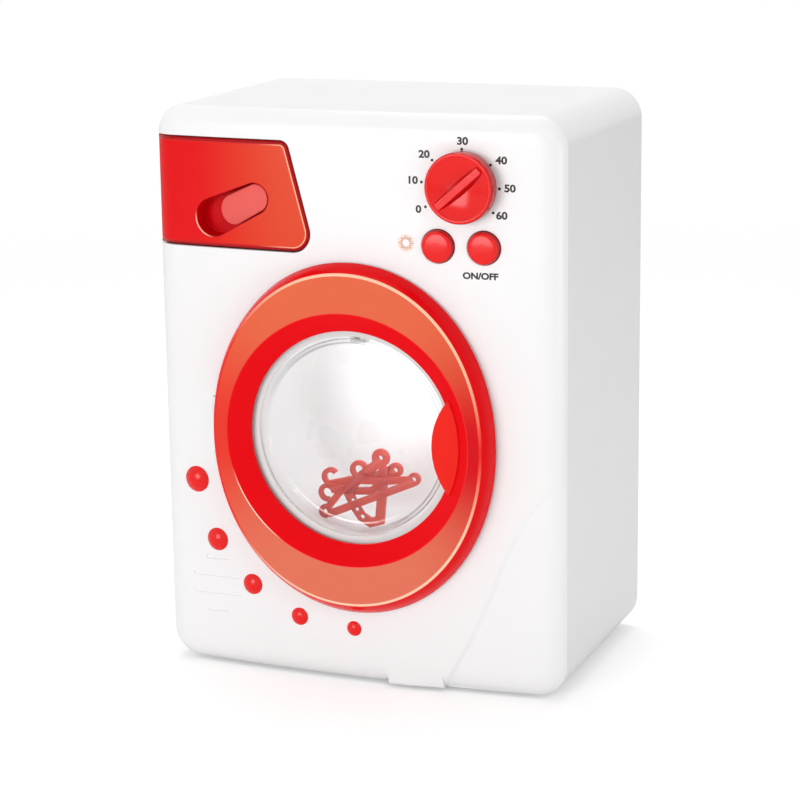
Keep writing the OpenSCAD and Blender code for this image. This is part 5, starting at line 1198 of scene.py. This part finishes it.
def drawer_pad():
    """The sloped pad in the finger recess, rounded over at its edge."""
    loop = densified(tapered(RAMP_FOOT, RAMP_END), 2.0)
    soft = 0.5
    rows = [at_height(offset(loop, -0.3), RECESS_Y + 0.4), at_height(loop, RECESS_Y + 0.4)]
    rows += rim(loop, -1, soft, pad_y)[::-1]
    inner = offset(loop, -soft)
    flat, triangles = plate(inner, (), (), 4.0)
    parts = [lofted(rows), sheet_of(flat, triangles, pad_y(flat))]
    base = offset(loop, -0.3)
    flat, triangles = plate(base, (), (), 6.0)
    parts.append(sheet_of(flat, triangles, RECESS_Y + 0.4, inner=True))
    made("drawer_finger_pad", parts, "drawer", red_pad_painted_sheen, ())


# Dial, buttons and bubbles
def bar_loop(low, high, half):
    """The grip bar's outline at one level, along its direction."""
    loop = rounded_box(low, -half, high, half, 0.4, 4)
    c, s = math.cos(GRIP_ANGLE), math.sin(GRIP_ANGLE)
    return loop @ np.array([[c, s], [-s, c]]) + DIAL


def dial_knob():
    """The dial: a dished cap turned from a profile, and a grip bar across it whose sides slope down
    into the dish."""
    front = face_y(DIAL[0]) - DIAL_RISE
    back = face_y(DIAL[0] - DIAL_R) - 0.5
    stem_end = face_y(DIAL[0]) + WALL + 1.6 + 3.0
    r = np.linspace(0, 1, 14)
    dish = [[DISH_R * t, front + DISH_LIP + (DISH_DEPTH - DISH_LIP) * (1 - t ** 2.2)] for t in r]
    edge = [[DISH_R + 0.5, front], [DIAL_R - 0.6, front], [DIAL_R, front + 0.9], [DIAL_R, back]]
    under = [[DIAL_R - DIAL_SKIRT, back], [DIAL_R - DIAL_SKIRT, back - DIAL_CAVITY],
             [DIAL_STEM_R, back - DIAL_CAVITY], [DIAL_STEM_R, stem_end], [0, stem_end]]
    profile = dish + edge + under
    radii = [0] * 13 + [0.5, 0.5, 0.6, 0.4, 0.2, 0.2, 0.2, 0.2]
    parts = [turned(DIAL, filleted(profile, radii, 5), 144)]
    soft = 0.35
    top = front + 0.1
    rows = [at_height(bar_loop(-GRIP_FOOT, GRIP_FOOT, 3.1), front + DISH_DEPTH + 0.5),
            at_height(bar_loop(-GRIP_FOOT, GRIP_FOOT, 3.0), front + DISH_DEPTH),
            at_height(bar_loop(GRIP_LOW, GRIP_HIGH, GRIP_W / 2), top + soft)]
    for a in np.linspace(0, np.pi / 2, 5)[1:]:
        inset = soft * (1 - math.cos(a))
        rows.append(at_height(bar_loop(GRIP_LOW + inset, GRIP_HIGH - inset, GRIP_W / 2 - inset),
                              top + soft * (1 - math.sin(a))))
    points, faces = lofted(rows, capped=True)
    faces.append(list(range(len(rows[0])))[::-1])
    parts.append((points, faces))
    made("dial_cap", parts, "dial", red_knob_painted_edge_shade, ["dial_knob"], sharp=50)


def button(name):
    """A push button: a flat crowned face with a rolled edge, a flange behind the front and a stem."""
    at = BUTTONS[name]
    f = face_y(at[0]) - BUTTON_RISE
    flange_r, flange_t = BUTTON_FLANGE
    flange = face_y(at[0] + flange_r) + WALL + 0.3
    stem_end = span_case(name)[1][1]
    crown = [[0, f - 0.2], [2.5, f - 0.17], [5.3, f + 0.05], [5.75, f + 0.25], [6.3, f + 0.45]]
    side = [[BUTTON_R, f + 1.3], [BUTTON_R, flange], [flange_r, flange], [flange_r, flange + flange_t]]
    profile = crown + side + [[BUTTON_STEM_R, flange + flange_t], [BUTTON_STEM_R, stem_end], [0, stem_end]]
    radii = [0.8, 0.3, 0.25, 0.4, 0.6, 0.1, 0.2, 0.2, 0.2, 0.2]
    made(name + "_cap", [turned(at, filleted(profile, radii, 5), 96)], name, red_knob_painted_edge_shade, [name])


def bubble(name):
    """A shallow dome, part of a ball, square on the bowed front, with its peg."""
    x, z, r = BUBBLES[name]
    h = BUBBLE_RISE * r
    ball = (r * r + h * h) / (2 * h)
    reach = math.asin(r / ball)
    a = np.linspace(0, reach, 16)
    dome = np.stack([ball * np.sin(a), ball - h - BUBBLE_LIFT - ball * np.cos(a)], 1).tolist()
    profile = dome + [[r, -BUBBLE_LIFT], [PEG_R, -BUBBLE_LIFT], [PEG_R, PEG_END], [0, PEG_END]]
    slope = math.atan(2 * FACE_BOW * x / HALF_W ** 2)
    parts = [turned((x, z, face_y(x)), profile, 72, slope)]
    made(name + "_dome", parts, "case", red_knob_painted_edge_shade, [name])


# Prints on the front
INK_T = 0.03


def on_front(name, mesh, centre, ink):
    """Lays a flat mesh, drawn in millimetres, on the bowed front as a film of ink."""
    count = len(mesh.vertices)
    flat = np.zeros(count * 3, np.float32)
    mesh.vertices.foreach_get("co", flat)
    flat = flat.reshape(-1, 3).astype(float)
    x, z = flat[:, 0] + centre[0], flat[:, 1] + centre[1]
    y = front_y(np.stack([x, z], 1)) - 0.01 - (flat[:, 2] > 0) * INK_T
    mesh.vertices.foreach_set("co", place(np.stack([x, y, z], 1)).astype(np.float32).ravel())
    work = bmesh.new()
    work.from_mesh(mesh)
    bmesh.ops.remove_doubles(work, verts=work.verts, dist=1e-6)
    bmesh.ops.recalc_face_normals(work, faces=work.faces)
    work.to_mesh(mesh)
    work.free()
    mesh.materials.clear()
    mesh.materials.append(ink)
    piece = bpy.data.objects.new(name, mesh)
    bpy.context.scene.collection.objects.link(piece)
    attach(piece, "case")
    return piece


def lettering(name, words, centre, height):
    """Words as a thin bold print: the font's outline, thickened, sized by its capitals' height."""
    curve = bpy.data.curves.new(name, "FONT")
    curve.body = words
    curve.align_x = "CENTER"
    curve.align_y = "CENTER"
    curve.size = height / 0.72
    curve.offset = LETTER_WEIGHT
    curve.extrude = INK_T / 2
    curve.resolution_u = 6
    source = bpy.data.objects.new(name + "_outline", curve)
    bpy.context.scene.collection.objects.link(source)
    graph = bpy.context.evaluated_depsgraph_get()
    mesh = bpy.data.meshes.new_from_object(source.evaluated_get(graph))
    bpy.data.objects.remove(source)
    mesh.transform(Matrix.Diagonal((LETTER_STRETCH, 1, 1, 1)))
    return on_front(name, mesh, centre, black_ink)


def film(name, loops, centre, ink):
    """Flat shapes as a thin film of ink: each loop is drawn forwards a little and capped."""
    verts, faces, start = [], [], 0
    for loop in loops:
        n = len(loop)
        for level in (-INK_T, INK_T):
            verts.append(np.concatenate([loop, np.full((n, 1), level)], 1))
        i = np.arange(n)
        faces += (np.stack([i, (i + 1) % n, (i + 1) % n + n, i + n], 1) + start).tolist()
        faces += [(i[::-1] + start).tolist(), (i + n + start).tolist()]
        start += 2 * n
    mesh = bpy.data.meshes.new(name)
    mesh.from_pydata(np.concatenate(verts).tolist(), [], faces)
    return on_front(name, mesh, centre, ink)


SCALE_CENTRE = np.array([49.3, 219.3])
SCALE_R = 16.9
DOT_TURNS = np.radians(87 + np.array([120, 84, 48, 0, -48, -84, -120]))
NUMERALS = {"0": (31.2, 210.4), "10": (28.6, 222.5), "20": (33.9, 233.5), "30": (50.5, 239.4),
            "40": (67.0, 231.8), "50": (70.6, 220.3), "60": (67.1, 208.9)}
SIGN = np.array([25.5, 196.0])
SIGN_RAYS = 16
SIGN_RAY = (1.55, 0.14, 0.3)
SIGN_REACH = (3.1, 2.6)
SIGN_GLOW = (1.5, 3.7)
LETTER_WEIGHT = 0.16
LETTER_STRETCH = 1.12
DOT_R = 0.62


def prints():
    """The dial's dots and numbers, the lamp sign and the words under the second button."""
    dots = [ring(SCALE_R * np.array([math.cos(a), math.sin(a)]), DOT_R, 20) for a in DOT_TURNS]
    film("dial_dots", dots, SCALE_CENTRE, black_ink)
    for words, at in NUMERALS.items():
        lettering("dial_" + words, words, at, 3.1)
    lettering("on_off", "ON/OFF", (57.9, 183.2), 2.7)
    rays = []
    start, near, far = SIGN_RAY
    for k, out in enumerate(ring((0, 0), 1, SIGN_RAYS)):
        side = np.array([-out[1], out[0]])
        reach = SIGN_REACH[k % 2]
        rays.append(np.array([start * out - near * side, reach * out - far * side,
                              reach * out + far * side, start * out + near * side]))
    film("lamp_sign", rays, SIGN, sign_ink)
    around = closed_line(ring((0, 0), 1, 2 * SIGN_RAYS))
    low, high = SIGN_GLOW
    halo = [np.array([low * a, high * a, high * b, low * b]) for a, b in zip(around[:-1], around[1:])]
    film("lamp_sign_glow", halo, SIGN, glow_ink)


# Everything else keeps its CAD shape
SOFT_EDGES = {
    "feet": 0.4, "door_back": 0.25, "hinge_bracket": 0.25, "latch_keeper": 0.25, "mouth_ring": 0.3,
    "drawer_tray": 0.35, "drawer_guide": 0.3, "battery_door": 0.35, "battery_box": 0.3,
    "hanger_1": 0.4, "hanger_2": 0.4, "hanger_3": 0.4, "chassis": 0.3, "gear_plate": 0.3}


NODE_SLOTS = {part["node"]: part["material_slot"] for part in frame["record"]["subparts"]}
NODE_BODIES = {node: body for body, nodes in frame["record"]["behaviour"]["bodies"].items() for node in nodes}


def inner_parts():
    """The parts that keep their CAD shape: those in sight get soft edges, and all get a finish."""
    for node, width in SOFT_EDGES.items():
        slot = NODE_SLOTS[node]
        softened(node, NODE_MATERIALS[slot], NODE_BODIES[node], width)
    for node, piece in frame["nodes"].items():
        piece.data.materials.clear()
        piece.data.materials.append(NODE_MATERIALS[NODE_SLOTS[node]])


# Camera, light and floor
FOCAL = 2518.93
FRAME_WIDTH = 800
EYE = [405.09, -979.40, 374.42]
VIEW = (21.57, 13.29, -0.76)


def look_matrix(azimuth, elevation, roll):
    """The camera's axes: right, up and back, turned by the roll about its view."""
    a, e, r = math.radians(azimuth), math.radians(elevation), math.radians(roll)
    back = np.array([math.sin(a) * math.cos(e), -math.cos(a) * math.cos(e), math.sin(e)])
    right = np.array([math.cos(a), math.sin(a), 0])
    up = np.cross(back, right)
    axes = np.stack([right * math.cos(r) + up * math.sin(r), up * math.cos(r) - right * math.sin(r), back], 1)
    return Matrix(axes.tolist()).to_4x4()


def camera():
    """The camera, at the photograph's angle."""
    data = bpy.data.cameras.new("camera")
    data.sensor_width = 36
    data.lens = data.sensor_width * FOCAL / FRAME_WIDTH
    data.clip_start, data.clip_end = 0.05, 20
    eye = bpy.data.objects.new("camera", data)
    bpy.context.scene.collection.objects.link(eye)
    eye.matrix_world = Matrix.Translation(place(EYE)) @ look_matrix(*VIEW)
    bpy.context.scene.camera = eye


def lamp(name, at, aim, size, power, height=None):
    """A soft lamp that faces a point: square, or of another height."""
    data = bpy.data.lights.new(name, "AREA")
    data.shape = "RECTANGLE"
    data.size = size
    data.size_y = height or size
    data.energy = power
    light = bpy.data.objects.new(name, data)
    bpy.context.scene.collection.objects.link(light)
    light.location = at
    light.rotation_mode = "QUATERNION"
    light.rotation_quaternion = (Vector(aim) - Vector(at)).to_track_quat("-Z", "Y")
    light.visible_camera = False
    return light


def lamps():
    """Two large soft lamps, a strip and a small one for glints, and one in the mouth of the drum."""
    lamp("front", (-0.5, -1.7, 0.35), (0, 0, 0.12), 0.8, 11)
    lamp("top", (-0.1, 0.3, 1.6), (0, 0, 0.1), 0.9, 8)
    lamp("strip", (0.66, -0.3, 0.17), (0, 0, 0.17), 0.05, 0.4, 0.3)
    lamp("spark", (0.8, -1.0, 1.0), (0, 0, 0.15), 0.07, 0.9)
    mouth_top, back_middle = place([6, DRUM_Y + 4, DOOR[1] + 40]), place([4, DRUM_BACK, DOOR[1] - 14])
    inside = lamp("drum", mouth_top, back_middle, 0.03, 0.03)
    inside.visible_glossy = False
    inside.visible_transmission = False


def surround():
    """A white world that lights the object softly and shows and reflects as plain white."""
    world = bpy.data.worlds.new("studio")
    world.use_nodes = True
    tree = world.node_tree
    tree.nodes.clear()
    ray = add(tree, "ShaderNodeLightPath")
    seen = ray.outputs["Is Camera Ray"]
    for kind in ("Is Transmission Ray", "Is Glossy Ray"):
        seen = add(tree, "ShaderNodeMath", {0: seen, 1: ray.outputs[kind]}, operation="MAXIMUM").outputs[0]
    lit = add(tree, "ShaderNodeBackground", Strength=0.54)
    shown = add(tree, "ShaderNodeBackground", Strength=1.0)
    mix = add(tree, "ShaderNodeMixShader", {0: seen, 1: lit.outputs[0], 2: shown.outputs[0]})
    add(tree, "ShaderNodeOutputWorld", {"Surface": mix.outputs[0]})
    lit.inputs["Color"].default_value = (1, 1, 1, 1)
    shown.inputs["Color"].default_value = (1, 1, 1, 1)
    bpy.context.scene.world = world


def pale_floor():
    """A pale floor that keeps the object's shadow and fades into the white world."""
    material, tree, out = blank("pale_floor")
    where = add(tree, "ShaderNodeTexCoord").outputs["Object"]
    grain = add(tree, "ShaderNodeTexNoise", {"Vector": where}, Scale=4.0, Detail=1.0)
    colour = add(tree, "ShaderNodeMix", data_type="RGBA")
    colour.inputs[6].default_value = linear("#fbfbfb")
    colour.inputs[7].default_value = linear("#f9f9f9")
    tree.links.new(grain.outputs["Fac"], colour.inputs[0])
    surface = add(tree, "ShaderNodeBsdfDiffuse", {"Color": colour.outputs[2]})
    glow = add(tree, "ShaderNodeEmission", Strength=0.25)
    glow.inputs["Color"].default_value = (1, 1, 1, 1)
    ray = add(tree, "ShaderNodeLightPath")
    lift = add(tree, "ShaderNodeAddShader", {0: surface.outputs[0], 1: glow.outputs[0]})
    mix = add(tree, "ShaderNodeMixShader", {0: ray.outputs["Is Camera Ray"], 1: surface.outputs[0],
                                            2: lift.outputs[0]})
    reach = add(tree, "ShaderNodeVectorMath", {0: where}, operation="LENGTH")
    fade = add(tree, "ShaderNodeMapRange", {"Value": reach.outputs["Value"]}, interpolation_type="SMOOTHSTEP")
    fade.inputs["From Min"].default_value = 0.45
    fade.inputs["From Max"].default_value = 1.3
    clear = add(tree, "ShaderNodeMath", {0: fade.outputs["Result"], 1: ray.outputs["Is Camera Ray"]},
                operation="MULTIPLY")
    thin = add(tree, "ShaderNodeBsdfTransparent")
    mix = add(tree, "ShaderNodeMixShader", {0: clear.outputs[0], 1: mix.outputs[0], 2: thin.outputs[0]})
    tree.links.new(mix.outputs[0], out.inputs["Surface"])
    mesh = bpy.data.meshes.new("floor")
    mesh.from_pydata([(-6, -6, 0), (6, -6, 0), (6, 6, 0), (-6, 6, 0)], [], [(0, 1, 2, 3)])
    mesh.materials.append(material)
    floor = bpy.data.objects.new("floor", mesh)
    bpy.context.scene.collection.objects.link(floor)


front_shell()
rear_shell()
door_ring()
door_window()
door_pull()
drum()
drawer_front()
dial_knob()
for name in BUTTONS:
    button(name)
for name in BUBBLES:
    bubble(name)
prints()
inner_parts()
camera()
lamps()
surround()
pale_floor()

bpy.context.scene.view_settings.view_transform = "Standard"
